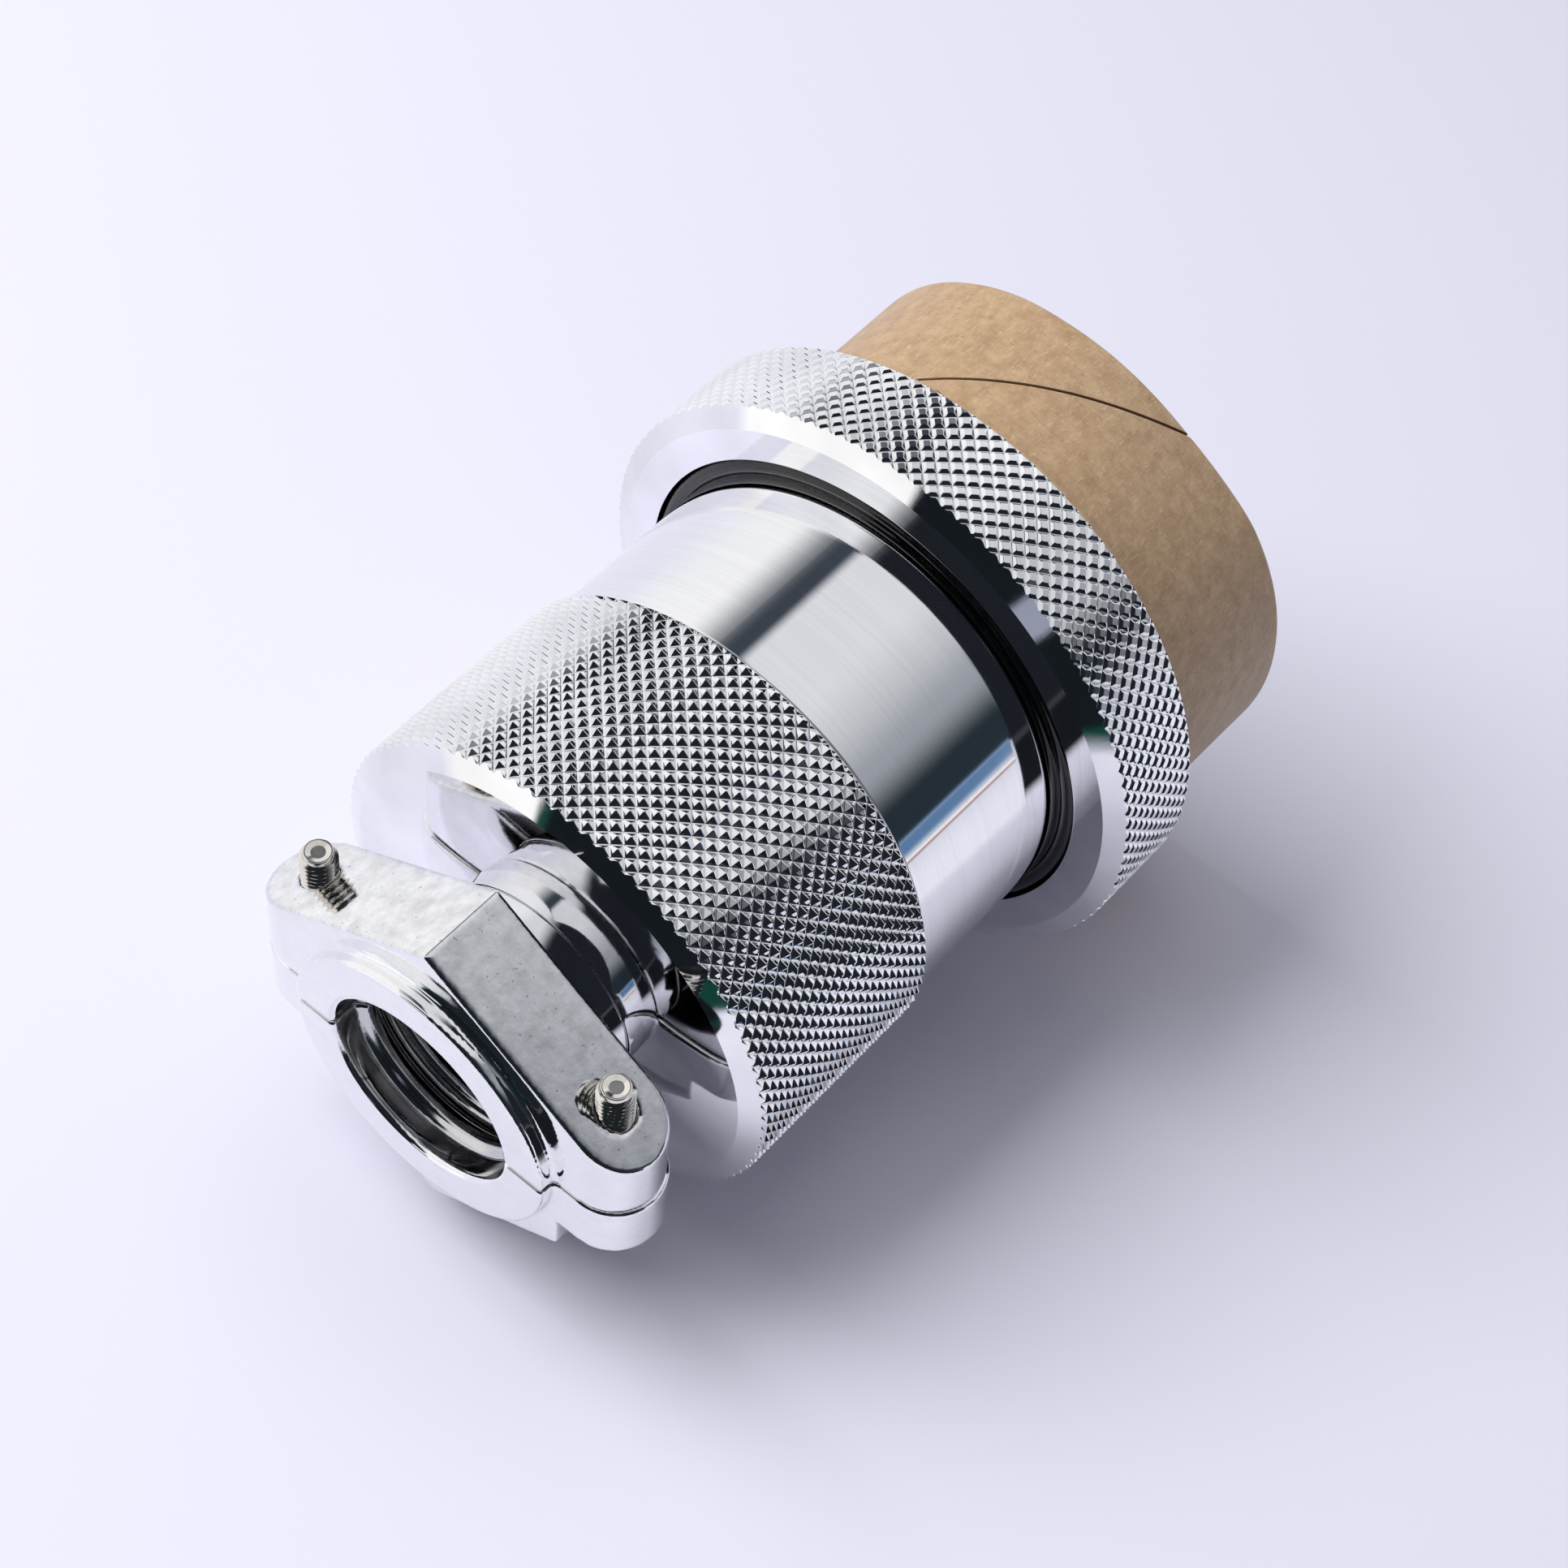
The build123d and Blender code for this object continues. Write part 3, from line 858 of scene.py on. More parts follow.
@dataclass(frozen=True)
class FineTurned:
    """Chrome plate over fine tool lines that run round the axis.

    Attributes:
        name: Material name.
        colour: Tint of the metal.
        faded: Tint of its faded lines, as a share of the colour.
        gloss: Roughness without and with tool lines.
        line_depth: Bump of the tool lines, in millimetres.
        lined: Heights between which the surface has tool lines, in millimetres.
        rims: Length over which they start and stop, in millimetres.
        lines: Pattern of the tool lines.
        broad: Pattern of the broader lines.
        broad_share: Bump of the broader lines, as a share of the other.
        broad_tint: Pattern values that become the full and the faded tint.
    """

    name: str
    colour: Colour = (0.96, 0.96, 0.965)
    faded: float = 0.975
    gloss: Pair = (0.04, 0.05)
    line_depth: float = 0.0004
    lined: Pair = (27.5, 43.4)
    rims: Pair = (0.25, 0.1)
    lines: Grain = Grain((330.0, 330.0, 15000.0), rough=0.6)
    broad: Grain = Grain((70.0, 70.0, 4200.0))
    broad_share: float = 0.06
    broad_tint: Pair = (0.35, 0.7)

    def build(self) -> bpy.types.Material:
        """Material of the finish."""
        shader = Shader(self.name)
        broad = shader.grain(self.broad)
        height = shader.add("ShaderNodeSeparateXYZ", Vector=shader.place).outputs[2]
        low, high = self.lined
        above = shader.spread(height, (low - self.rims[0]) * MM, low * MM)
        below = shader.spread(height, high * MM, (high + self.rims[1]) * MM, 1.0, 0.0)
        lined = shader.product(above, below)
        form = shader.math("ADD", shader.grain(self.lines), shader.product(broad, self.broad_share))
        tint = shader.blend(shader.spread(broad, *self.broad_tint), linear(self.colour),
                            dimmed(self.colour, self.faded))
        shader.set(Base_Color=tint, Metallic=1.0, Roughness=shader.between(lined, *self.gloss),
                   Normal=shader.bump(shader.product(form, lined), self.line_depth))
        return shader.material


@dataclass(frozen=True)
class Rubber:
    """Smooth black rubber with a slight bloom.

    Attributes:
        name: Material name.
        colour: Colour of the rubber.
        bloom: Colour of the dusty patches.
        gloss: Roughness, clean and dusty.
        relief: Bump of the skin, in millimetres.
        dust: Pattern of the dusty patches.
        skin: Pattern of the skin.
    """

    name: str
    colour: Colour = (0.035, 0.035, 0.04)
    bloom: Colour = (0.09, 0.09, 0.09)
    gloss: Pair = (0.08, 0.33)
    relief: float = 0.004
    dust: Grain = Grain(900.0, 4.0, 0.6, (0.5, 0.8))
    skin: Grain = Grain(3500.0, 3.0, 0.6)

    def build(self) -> bpy.types.Material:
        """Material of the finish."""
        shader = Shader(self.name)
        dust = shader.grain(self.dust)
        shader.set(Base_Color=shader.blend(dust, linear(self.colour), linear(self.bloom)),
                   Roughness=shader.between(dust, *self.gloss),
                   Normal=shader.bump(shader.grain(self.skin), self.relief))
        return shader.material


@dataclass(frozen=True)
class Moulding:
    """Black moulded plastic with a faint flow texture.

    Attributes:
        name: Material name.
        colour: Colour of the plastic.
        pale: Tint of its paler patches, as a share of the colour.
        gloss: Roughness of the plain and of the paler patches.
        gloss_span: Pattern values at which it has the one and the other.
        relief: Bump of the skin, in millimetres.
        flow: Pattern of the patches.
        skin: Pattern of the skin.
    """

    name: str
    colour: Colour = (0.085, 0.085, 0.09)
    pale: float = 1.5
    gloss: Pair = (0.32, 0.48)
    gloss_span: Pair = (0.3, 0.7)
    relief: float = 0.006
    flow: Grain = Grain(700.0, 3.0)
    skin: Grain = Grain(4200.0)

    def build(self) -> bpy.types.Material:
        """Material of the finish."""
        shader = Shader(self.name)
        flow = shader.grain(self.flow)
        shader.set(Base_Color=shader.blend(flow, linear(self.colour), dimmed(self.colour, self.pale)),
                   Roughness=shader.spread(flow, *self.gloss_span, *self.gloss),
                   Normal=shader.bump(shader.grain(self.skin), self.relief))
        return shader.material


@dataclass(frozen=True)
class KraftBoard:
    """Wound kraft board: tan ground, short fibres across and along the winding, and a dark seam.

    Attributes:
        name: Material name.
        light: Colour of the board.
        dark: Colour of its darker patches.
        fibre: Colour of the dark fibres.
        pale: Colour of the pale fibres.
        fibre_share: How much of its colour a fibre takes.
        groove: Colour of the seam's groove.
        gloss: Roughness of the board.
        specular: Strength of its shine.
        sheen: Strength and roughness of its nap's sheen.
        relief: Bump of the nap, and of the slow waves under it, in millimetres.
        along_share: Bump of the fibres along the winding, as a share of the others.
        mottle: Pattern of the darker patches.
        across: Pattern of the dark fibres, and the values at which they start and are full.
        along: Pattern of the pale fibres, and the values at which they start and are full.
        waves: Pattern of the slow waves.
    """

    name: str
    light: Colour = (0.745, 0.63, 0.495)
    dark: Colour = (0.655, 0.535, 0.405)
    fibre: Colour = (0.48, 0.36, 0.25)
    pale: Colour = (0.86, 0.76, 0.63)
    fibre_share: float = 0.6
    groove: Colour = (0.30, 0.175, 0.10)
    gloss: float = 0.6
    specular: float = 0.6
    sheen: Pair = (0.3, 0.4)
    relief: Pair = (0.03, 0.05)
    along_share: float = 0.7
    mottle: Grain = Grain(700.0, 6.0, 0.65, (0.35, 0.66))
    across: tuple[Grain, Pair] = (
        Grain((1100.0, 1100.0, 6500.0), rough=0.6, turn=(0.3, 0.15, 0.0)), (0.58, 0.78))
    along: tuple[Grain, Pair] = (
        Grain((6000.0, 6000.0, 1100.0), rough=0.6, turn=(0.5, -0.35, 0.2)), (0.56, 0.78))
    waves: Grain = Grain(300.0, 3.0)

    def build(self) -> bpy.types.Material:
        """Material of the finish."""
        shader = Shader(self.name)
        colour = shader.blend(shader.grain(self.mottle), linear(self.light), linear(self.dark))
        fibres = []
        for (pattern, span), tint in ((self.across, self.fibre), (self.along, self.pale)):
            fibres.append(shader.grain(pattern))
            share = shader.product(shader.spread(fibres[-1], *span), self.fibre_share)
            colour = shader.blend(share, colour, linear(tint))
        seam = shader.add("ShaderNodeAttribute")
        seam.attribute_name = "seam"
        nap = shader.math("ADD", fibres[0], shader.product(fibres[1], self.along_share))
        fine, slow = self.relief
        felt = shader.bump(nap, fine, shader.bump(shader.grain(self.waves), slow))
        shader.set(Base_Color=shader.blend(seam.outputs["Fac"], colour, linear(self.groove)), Normal=felt,
                   Roughness=self.gloss, Specular_IOR_Level=self.specular, Sheen_Weight=self.sheen[0],
                   Sheen_Roughness=self.sheen[1])
        return shader.material


CLAMP_CHROME = CastChrome("clamp_chrome")
GLAND_CHROME = Plated("gland_chrome")
COUPLING_CHROME = Plated("coupling_chrome")
BARREL_CHROME = FineTurned("brushed_chrome")
SCREW_NICKEL = Plated("screw_steel", colour=(0.93, 0.91, 0.875), gloss=0.11, haze=0.12, ripple=0.01)
SPRING_STEEL = Plated("spring_steel", colour=(0.66, 0.66, 0.67), gloss=0.25, haze=0.15)
CONTACT_SILVER = Plated("contact_metal", colour=(0.88, 0.84, 0.74), gloss=0.2, haze=0.12)
BLACK_RUBBER = Rubber("black_rubber")
INSERT_MOULDING = Moulding("insert_plastic")
KRAFT = KraftBoard("kraft_paper")

Finish = Plated | CastChrome | FineTurned | Rubber | Moulding | KraftBoard


def material_of(finish: Finish) -> bpy.types.Material:
    """Material of a finish, built once."""
    name = finish.name + "_look"
    material = bpy.data.materials.get(name)
    if material is None:
        material = finish.build()
        material.name = name
    return material


def mount(mesh: bpy.types.Mesh, name: str, body: str, finish: Finish, nodes: Sequence[str] = ()
          ) -> bpy.types.Object:
    """Makes a piece of a mesh in millimetres: brings it to metres, dresses it and puts it on its body.

    Args:
        mesh: Finished mesh in millimetres.
        name: The piece's name.
        body: Body that it rides on.
        finish: Its finish, whose material goes in the piece's one slot.
        nodes: Solids that it stands for.

    Returns:
        The piece.
    """
    mesh.transform(Matrix.Scale(MM, 4))
    mesh.name = name
    mesh.materials.clear()
    mesh.materials.append(material_of(finish))
    piece = bpy.data.objects.new(name, mesh)
    bpy.context.scene.collection.objects.link(piece)
    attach(piece, body)
    if nodes:
        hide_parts(*nodes)
    mesh.calc_loop_triangles()
    log.info("%s: %d triangles on %s", name, len(mesh.loop_triangles), body)
    return piece


def dress(node: str, finish: Finish) -> None:
    """Gives a carried-over solid its finish."""
    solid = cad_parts[node]
    material = material_of(finish)
    for index in range(len(solid.material_slots)):
        solid.material_slots[index].material = material
    log.info("%s: solid kept, %s", node, finish.name)


# Sub-assemblies


@dataclass
class Diamond:
    """One diamond of a knurl.

    Attributes:
        rings: Scale, height as a share of the depth, and corner cut of each ring, from the foot inwards.
        foot: Height of the groove's floor as a share of the depth.
        foot_cut: Where the groove's corner pieces start, as a share of a side.
    """

    rings: tuple[Triple, ...]
    foot: float
    foot_cut: float

    def mesh(self, pitch: float, depth: float) -> bpy.types.Mesh:
        """Mesh of one diamond, flat on its strip with its crest at height 0.

        Args:
            pitch: Diagonal of the diamond.
            depth: Depth of the groove.

        Returns:
            The mesh.
        """
        bm = bmesh.new()
        half = pitch / 2
        tips = [Vector((half, 0)), Vector((0, half)), Vector((-half, 0)), Vector((0, -half))]

        def spot(side: int, share: float, scale: float, height: float) -> bmesh.types.BMVert:
            place = tips[side].lerp(tips[(side + 1) % 4], share) * scale
            return bm.verts.new((place.x, place.y, -height * depth))

        rings = [[(spot(side, cut, scale, height), spot(side, 1 - cut, scale, height)) for side in range(4)]
                 for scale, height, cut in self.rings]
        corners = [spot(side, 0, 1, self.foot) for side in range(4)]
        foot = [(spot(side, self.foot_cut, 1, self.foot), spot(side, 1 - self.foot_cut, 1, self.foot))
                for side in range(4)]
        for side in range(4):
            after = (side + 1) % 4
            inner = rings[0]
            bm.faces.new((foot[side][0], foot[side][1], inner[side][1], inner[side][0]))
            bm.faces.new((foot[side][1], corners[after], inner[side][1]))
            bm.faces.new((corners[after], foot[after][0], inner[after][0]))
            bm.faces.new((corners[after], inner[after][0], inner[side][1]))
            for outer, inner in zip(rings, rings[1:]):
                bm.faces.new((outer[side][0], outer[side][1], inner[side][1], inner[side][0]))
                bm.faces.new((outer[side][1], outer[after][0], inner[after][0], inner[side][1]))
        bm.faces.new([vertex for pair in rings[-1] for vertex in pair])
        mesh = bpy.data.meshes.new("diamond")
        bm.to_mesh(mesh)
        bm.free()
        return mesh


SHARP_DIAMOND = Diamond(rings=((0.86, 0.84, 0.05), (0.16, 0.06, 0.22), (0.10, 0.0, 0.25)), foot=0.93,
                        foot_cut=0.1)
PAD_DIAMOND = Diamond(rings=((0.93, 0.90, 0.06), (0.55, 0.09, 0.10), (0.49, 0.0, 0.13)), foot=1.0,
                      foot_cut=0.07)


@dataclass
class KnurledBand:
    """Knurled outside of a nut, cut off at both ends by the nut's chamfers.

    Attributes:
        radius: Radius of the crests.
        count: Diamonds round the band.
        depth: Depth of the grooves.
        diamond: Form of one diamond.
        low: Height where the lower chamfer meets the crests.
        high: Height where the upper chamfer meets the crests.
        low_fall: Rise of the lower chamfer for each millimetre inwards.
        high_fall: Rise of the upper chamfer for each millimetre inwards.
        spare_rows: Rows of diamonds beyond the band, which its ends cut off.
    """

    radius: float
    count: int
    depth: float
    diamond: Diamond
    low: float
    high: float
    low_fall: float
    high_fall: float
    spare_rows: int = 3

    def strip(self, tree: FieldTree, finish: Finish) -> bmesh.types.BMesh:
        """Flat strip of diamonds, cut along both chamfers."""
        pitch = TURN * self.radius / self.count
        rows = math.ceil((self.high - self.low) / (pitch / 2)) + self.spare_rows
        flat = tree.run(self.diamond.mesh(pitch, self.depth), Across=self.count, Rows=rows, Pitch=pitch,
                        Start=self.low - pitch / 2, Finish=material_of(finish))
        bm = bmesh.new()
        bm.from_mesh(flat)
        bpy.data.meshes.remove(flat)
        for edge, normal in ((self.high, (0, 1, self.high_fall)), (self.low, (0, -1, self.low_fall))):
            bmesh.ops.bisect_plane(bm, geom=[*bm.verts, *bm.edges, *bm.faces], plane_co=(0, edge, 0),
                                   plane_no=normal, clear_outer=True)
        return bm

    def wrap(self, bm: bmesh.types.BMesh) -> tuple[set[bmesh.types.BMVert], set[bmesh.types.BMVert]]:
        """Bends the strip round the axis and closes its seam.

        Args:
            bm: The flat strip.

        Returns:
            The points of its lower and of its upper edge.
        """
        for vertex in bm.verts:
            radius, angle = self.radius + vertex.co.z, vertex.co.x / self.radius
            vertex.co = Vector((radius * math.cos(angle), radius * math.sin(angle), vertex.co.y))
        bmesh.ops.remove_doubles(bm, verts=bm.verts, dist=MERGE)
        loops = sorted(open_loops(bm), key=lambda loop: sum(v.co.z for v in loop) / len(loop))
        return loops[0], loops[-1]


@dataclass
class ThreadedTube:
    """Open tube with a screw thread, which closes the gap in a turned section.

    Attributes:
        around: Segments round the tube.
        rings: Rings of points along it.
        base: Radius at the thread's root.
        height: Height of the thread, negative for one that points inwards.
        pitch: Its pitch.
        low: Height of the lower end.
        high: Height of the upper end.
        fade: Length over which the thread fades out at each end.
    """

    around: int
    rings: int
    base: float
    height: float
    pitch: float
    low: float
    high: float
    fade: float = 0.5

    def mesh(self, tree: FieldTree, finish: Finish) -> bpy.types.Mesh:
        """Mesh of the tube."""
        return tree.run(bpy.data.meshes.new("thread"), Around=self.around, Rings=self.rings, Base=self.base,
                        Height=self.height, Pitch=self.pitch, Low=self.low, High=self.high, Fade=self.fade,
                        Finish=material_of(finish))


@dataclass
class KnurledNut:
    """Nut with a knurled band outside and a turned section inside.

    Attributes:
        name: Name of the solid that it replaces, and of the piece.
        band: The knurled band.
        inside: Runs of corners from the upper chamfer's inner edge round the inside to the lower one's.
        finish: Finish of the nut.
        segments: Segments of the turned section.
    """

    name: str
    band: KnurledBand
    inside: Sequence[Sequence[Corner]]
    finish: Finish
    segments: int = 192

    def build(self, tree: FieldTree, thread: bpy.types.Mesh | None = None) -> bpy.types.Object:
        """Builds the nut.

        Args:
            tree: Tree that lays the diamonds out.
            thread: Threaded tube that closes the gap between two runs.

        Returns:
            The piece.
        """
        bm = self.band.strip(tree, self.finish)
        lower, upper = (walked(loop) for loop in self.band.wrap(bm))
        knurled = set(bm.faces)
        rings = [ring for run in self.inside
                 for ring in turn_into(bm, open_outline(run), even_angles(self.segments))]
        zip_rings(bm, upper, rings[0])
        zip_rings(bm, lower, rings[-1])
        for border in (upper, lower, rings[0], rings[-1]):
            crease(bm, set(border))
        if thread:
            bm.from_mesh(thread)
        for face in bm.faces:
            if face not in knurled:
                face.smooth = True
        mesh = to_mesh(bm, self.name)
        return mount(mesh, self.name + "_knurled", self.name, self.finish, [self.name])


@dataclass
class CouplingNut:
    """Large nut at the mating end, with flat-topped diamonds.

    Attributes:
        bore: Radius within the thread.
        thread_root: Radius at its root.
        thread_rings: Rings of points along it.
        thread_ends: Plain lengths next to the mouth and next to the rear lip.
        pitch: Its pitch.
        lip_bore: Radius of the hole in the rear lip.
        pocket: Radius of the recess for the rubber ring.
        pocket_depth: Depth of the recess.
        lip_depth: Depth of the lip's inner face.
        chamfer: Width and height of the rear chamfer.
        lower_chamfer: Size of the chamfer at the mating end.
        mouth: Size of the cone in the mouth.
        knurl_depth: Depth of the grooves.
        knurl_count: Diamonds round the band.
        segments: Segments of the turned section.
    """

    bore: float = 24.35
    thread_root: float = 24.95
    thread_rings: int = 64
    thread_ends: Pair = (0.6, 0.5)
    pitch: float = 1.0
    lip_bore: float = 20.86
    pocket: float = 22.28
    pocket_depth: float = 1.7
    lip_depth: float = 2.7
    chamfer: Pair = (1.8, 0.95)
    lower_chamfer: float = 0.9
    mouth: float = 0.6
    knurl_depth: float = 0.22
    knurl_count: int = 109
    segments: int = 216

    def build(self, knurl: FieldTree, thread: FieldTree) -> None:
        """Builds the nut with its thread."""
        low, high = node_span("coupling_nut")
        radius = node_reach("coupling_nut")
        inward, drop = self.chamfer
        band = KnurledBand(radius, self.knurl_count, self.knurl_depth, PAD_DIAMOND,
                           low + self.lower_chamfer, high - drop, 1.0, drop / inward)
        start, end = low + self.mouth + self.thread_ends[0], high - self.lip_depth - self.thread_ends[1]
        rear = [
            (radius - inward, high, 0), (self.pocket, high, 0.12),
            (self.pocket, high - self.pocket_depth, 0.1), (self.lip_bore, high - self.pocket_depth, 0.1),
            (self.lip_bore, high - self.lip_depth, 0.1),
            (self.thread_root, high - self.lip_depth, 0.1), (self.thread_root, end, 0),
        ]
        front = [(self.thread_root, start, 0), (self.bore + self.mouth, low, 0.1),
                 (radius - self.lower_chamfer, low, 0)]
        tube = ThreadedTube(self.segments, self.thread_rings, self.thread_root, self.bore - self.thread_root,
                            self.pitch, start, end).mesh(thread, COUPLING_CHROME)
        KnurledNut("coupling_nut", band, [rear, front], COUPLING_CHROME, self.segments).build(knurl, tube)


@dataclass
class GlandNut:
    """Long nut at the cable end, with sharp diamonds and a slightly domed end face.

    Attributes:
        bore: Radius of the inside.
        neck_bore: Radius of the hole for the clamp's neck.
        crown_points: Rings of the domed end face.
        crown: How far the end face rises from its chamfer to its hole.
        pocket_top: Height of the shoulder that holds the clamp's flange.
        chamfer: Width and height of the chamfer at the cable end.
        lower_chamfer: Size of the chamfer at the other end.
        knurl_depth: Depth of the grooves.
        knurl_count: Diamonds round the band.
    """

    bore: float = 19.66
    neck_bore: float = 9.26
    crown_points: int = 9
    crown: float = 0.62
    pocket_top: float = 59.4
    chamfer: Pair = (2.0, 0.95)
    lower_chamfer: float = 0.45
    knurl_depth: float = 0.42
    knurl_count: int = 93

    def build(self, knurl: FieldTree) -> None:
        """Builds the nut."""
        low, high = node_span("gland_nut")
        radius = node_reach("gland_nut")
        inward, drop = self.chamfer
        band = KnurledBand(radius, self.knurl_count, self.knurl_depth, SHARP_DIAMOND,
                           low + self.lower_chamfer, high - self.crown - drop, 1.0, drop / inward)
        shares = [step / self.crown_points for step in range(self.crown_points)]
        run = radius - inward - self.neck_bore
        inside = [
            *((radius - inward - run * share, high - self.crown * (1 - share) ** 2, 0) for share in shares),
            (self.neck_bore, high, 0.15), (self.neck_bore, self.pocket_top, 0.1),
            (self.bore, self.pocket_top, 0.1), (self.bore, low, 0.15), (radius - self.lower_chamfer, low, 0),
        ]
        KnurledNut("gland_nut", band, [inside], GLAND_CHROME).build(knurl)


@dataclass
class Barrel:
    """Smooth turned body between the nuts, with its gland thread and keyed nose.

    Attributes:
        radius: Radius between the nuts.
        flange: Heights of the flange that the coupling nut pulls on.
        nose: Radius of the nose.
        nose_edge: Fillet of its rim.
        lip_bore: Radius of the hole in front of the insert.
        insert_bore: Radius round the insert.
        insert_low: Height of the insert's shoulder.
        snap_groove: Radius at the bottom of the snap ring's groove.
        snap_span: Heights of that groove.
        bush_bore: Radius round the sealing bush.
        bush_low: Height of the bush's shoulder.
        thread: Radius of the thread's crests.
        thread_root: Radius at its root.
        thread_low: Height of the shoulder below it.
        thread_ends: Plain lengths above that shoulder and below the rim.
        thread_rings: Rings of points along it.
        pitch: Its pitch.
        rim: Step and chamfer of the rim above the thread.
        keyway: Width and depth of the keyway.
        key_angle: Angle at which it lies.
        key_gap: Angle from a wall of the keyway to the nearest even segment.
        key_wall: Half the angle that a wall takes up.
        segments: Segments of the turned section.
    """

    radius: float = 20.8
    flange: Pair = (21.25, 23.0)
    nose: float = 20.55
    nose_edge: float = 0.5
    lip_bore: float = 16.6
    insert_bore: float = 17.5
    insert_low: float = 17.15
    snap_groove: float = 18.05
    snap_span: Pair = (31.19, 32.45)
    bush_bore: float = 18.5
    bush_low: float = 48.9
    thread: float = 19.6
    thread_root: float = 18.98
    thread_low: float = 43.1
    thread_ends: Pair = (0.7, 0.9)
    thread_rings: int = 120
    pitch: float = 1.0
    rim: Pair = (0.1, 0.45)
    keyway: Pair = (3.0, 1.0)
    key_angle: float = 1.5 * math.pi
    key_gap: float = 0.004
    key_wall: float = 0.001
    segments: int = 240

    def key_half(self) -> float:
        """Half the angle of the keyway."""
        return self.keyway[0] / 2 / self.nose

    def nose_angles(self) -> list[float]:
        """Segment angles, with close pairs at the keyway's two walls."""
        walls = [self.key_angle + side * self.key_half() + offset
                 for side in (-1, 1) for offset in (-self.key_wall, self.key_wall)]
        even = [a for a in even_angles(self.segments) if all(abs(a - wall) > self.key_gap for wall in walls)]
        return sorted(even + walls)

    def keyed(self, r: float, z: float, angle: float) -> float:
        """Radius with the keyway cut into the nose."""
        depth = self.keyway[1]
        inside = abs(angle - self.key_angle) < self.key_half()
        return r - depth if inside and r > self.nose - depth and z <= self.flange[0] else r

    def build(self, thread: FieldTree) -> None:
        """Builds the barrel."""
        low, high = node_span("plug_barrel")
        flange_reach = node_reach("plug_barrel")
        start, end = self.thread_low + self.thread_ends[0], high - self.thread_ends[1]
        step, chamfer = self.rim
        corners = [
            (self.bush_bore, high, 0.1), (self.bush_bore, self.bush_low, 0.1),
            (self.insert_bore, self.bush_low, 0.1), (self.insert_bore, self.snap_span[1], 0),
            (self.snap_groove, self.snap_span[1], 0), (self.snap_groove, self.snap_span[0], 0),
            (self.insert_bore, self.snap_span[0], 0), (self.insert_bore, self.insert_low, 0.1),
            (self.lip_bore, self.insert_low, 0.1), (self.lip_bore, low, 0.15),
            (self.nose, low, self.nose_edge), (self.nose, self.flange[0], 0),
            (flange_reach, self.flange[0], 0.2), (flange_reach, self.flange[1], 0.2),
            (self.radius, self.flange[1], 0.1), (self.radius, self.thread_low, 0.12),
            (self.thread_root, self.thread_low, 0.1), (self.thread_root, start, 0),
        ]
        outline = [(self.thread_root, end), (self.thread_root - step, high - chamfer),
                   (self.thread_root - chamfer, high), *rounded(corners)]
        bm = bmesh.new()
        turn_into(bm, outline, self.nose_angles(), carve=self.keyed)
        loops, before = open_loops(bm), set(bm.verts)
        bm.from_mesh(ThreadedTube(self.segments, self.thread_rings, self.thread_root,
                                  self.thread - self.thread_root, self.pitch, start, end
                                  ).mesh(thread, BARREL_CHROME))
        added = set(bm.verts) - before
        for loop in loops:
            level = next(iter(loop)).co.z
            ring = [vertex for vertex in added if abs(vertex.co.z - level) < MERGE]
            zip_rings(bm, sorted(loop, key=angle_of), sorted(ring, key=angle_of))
        mesh = to_mesh(bm, "plug_barrel")
        shade(mesh)
        mount(mesh, "plug_barrel_turned", "plug_body", BARREL_CHROME, ["plug_barrel"])


@dataclass
class RubberRing:
    """Round rubber ring in the coupling nut's rear mouth.

    Attributes:
        section: Radius of its section.
        spans: Points of its section.
    """

    section: float = 0.8
    spans: int = 20

    def build(self) -> None:
        """Builds the ring."""
        low, high = node_span("barrel_ring")
        outline = circle(self.section, self.spans, node_reach("barrel_ring") - self.section, (low + high) / 2)
        mesh = to_mesh(turned(outline), "barrel_ring")
        shade(mesh, None)
        mount(mesh, "barrel_ring_round", "plug_body", BLACK_RUBBER, ["barrel_ring"])


class Half(Enum):
    """The two halves of the clamp, by the side of the split on which they lie."""

    SADDLE = -1
    BODY = 1


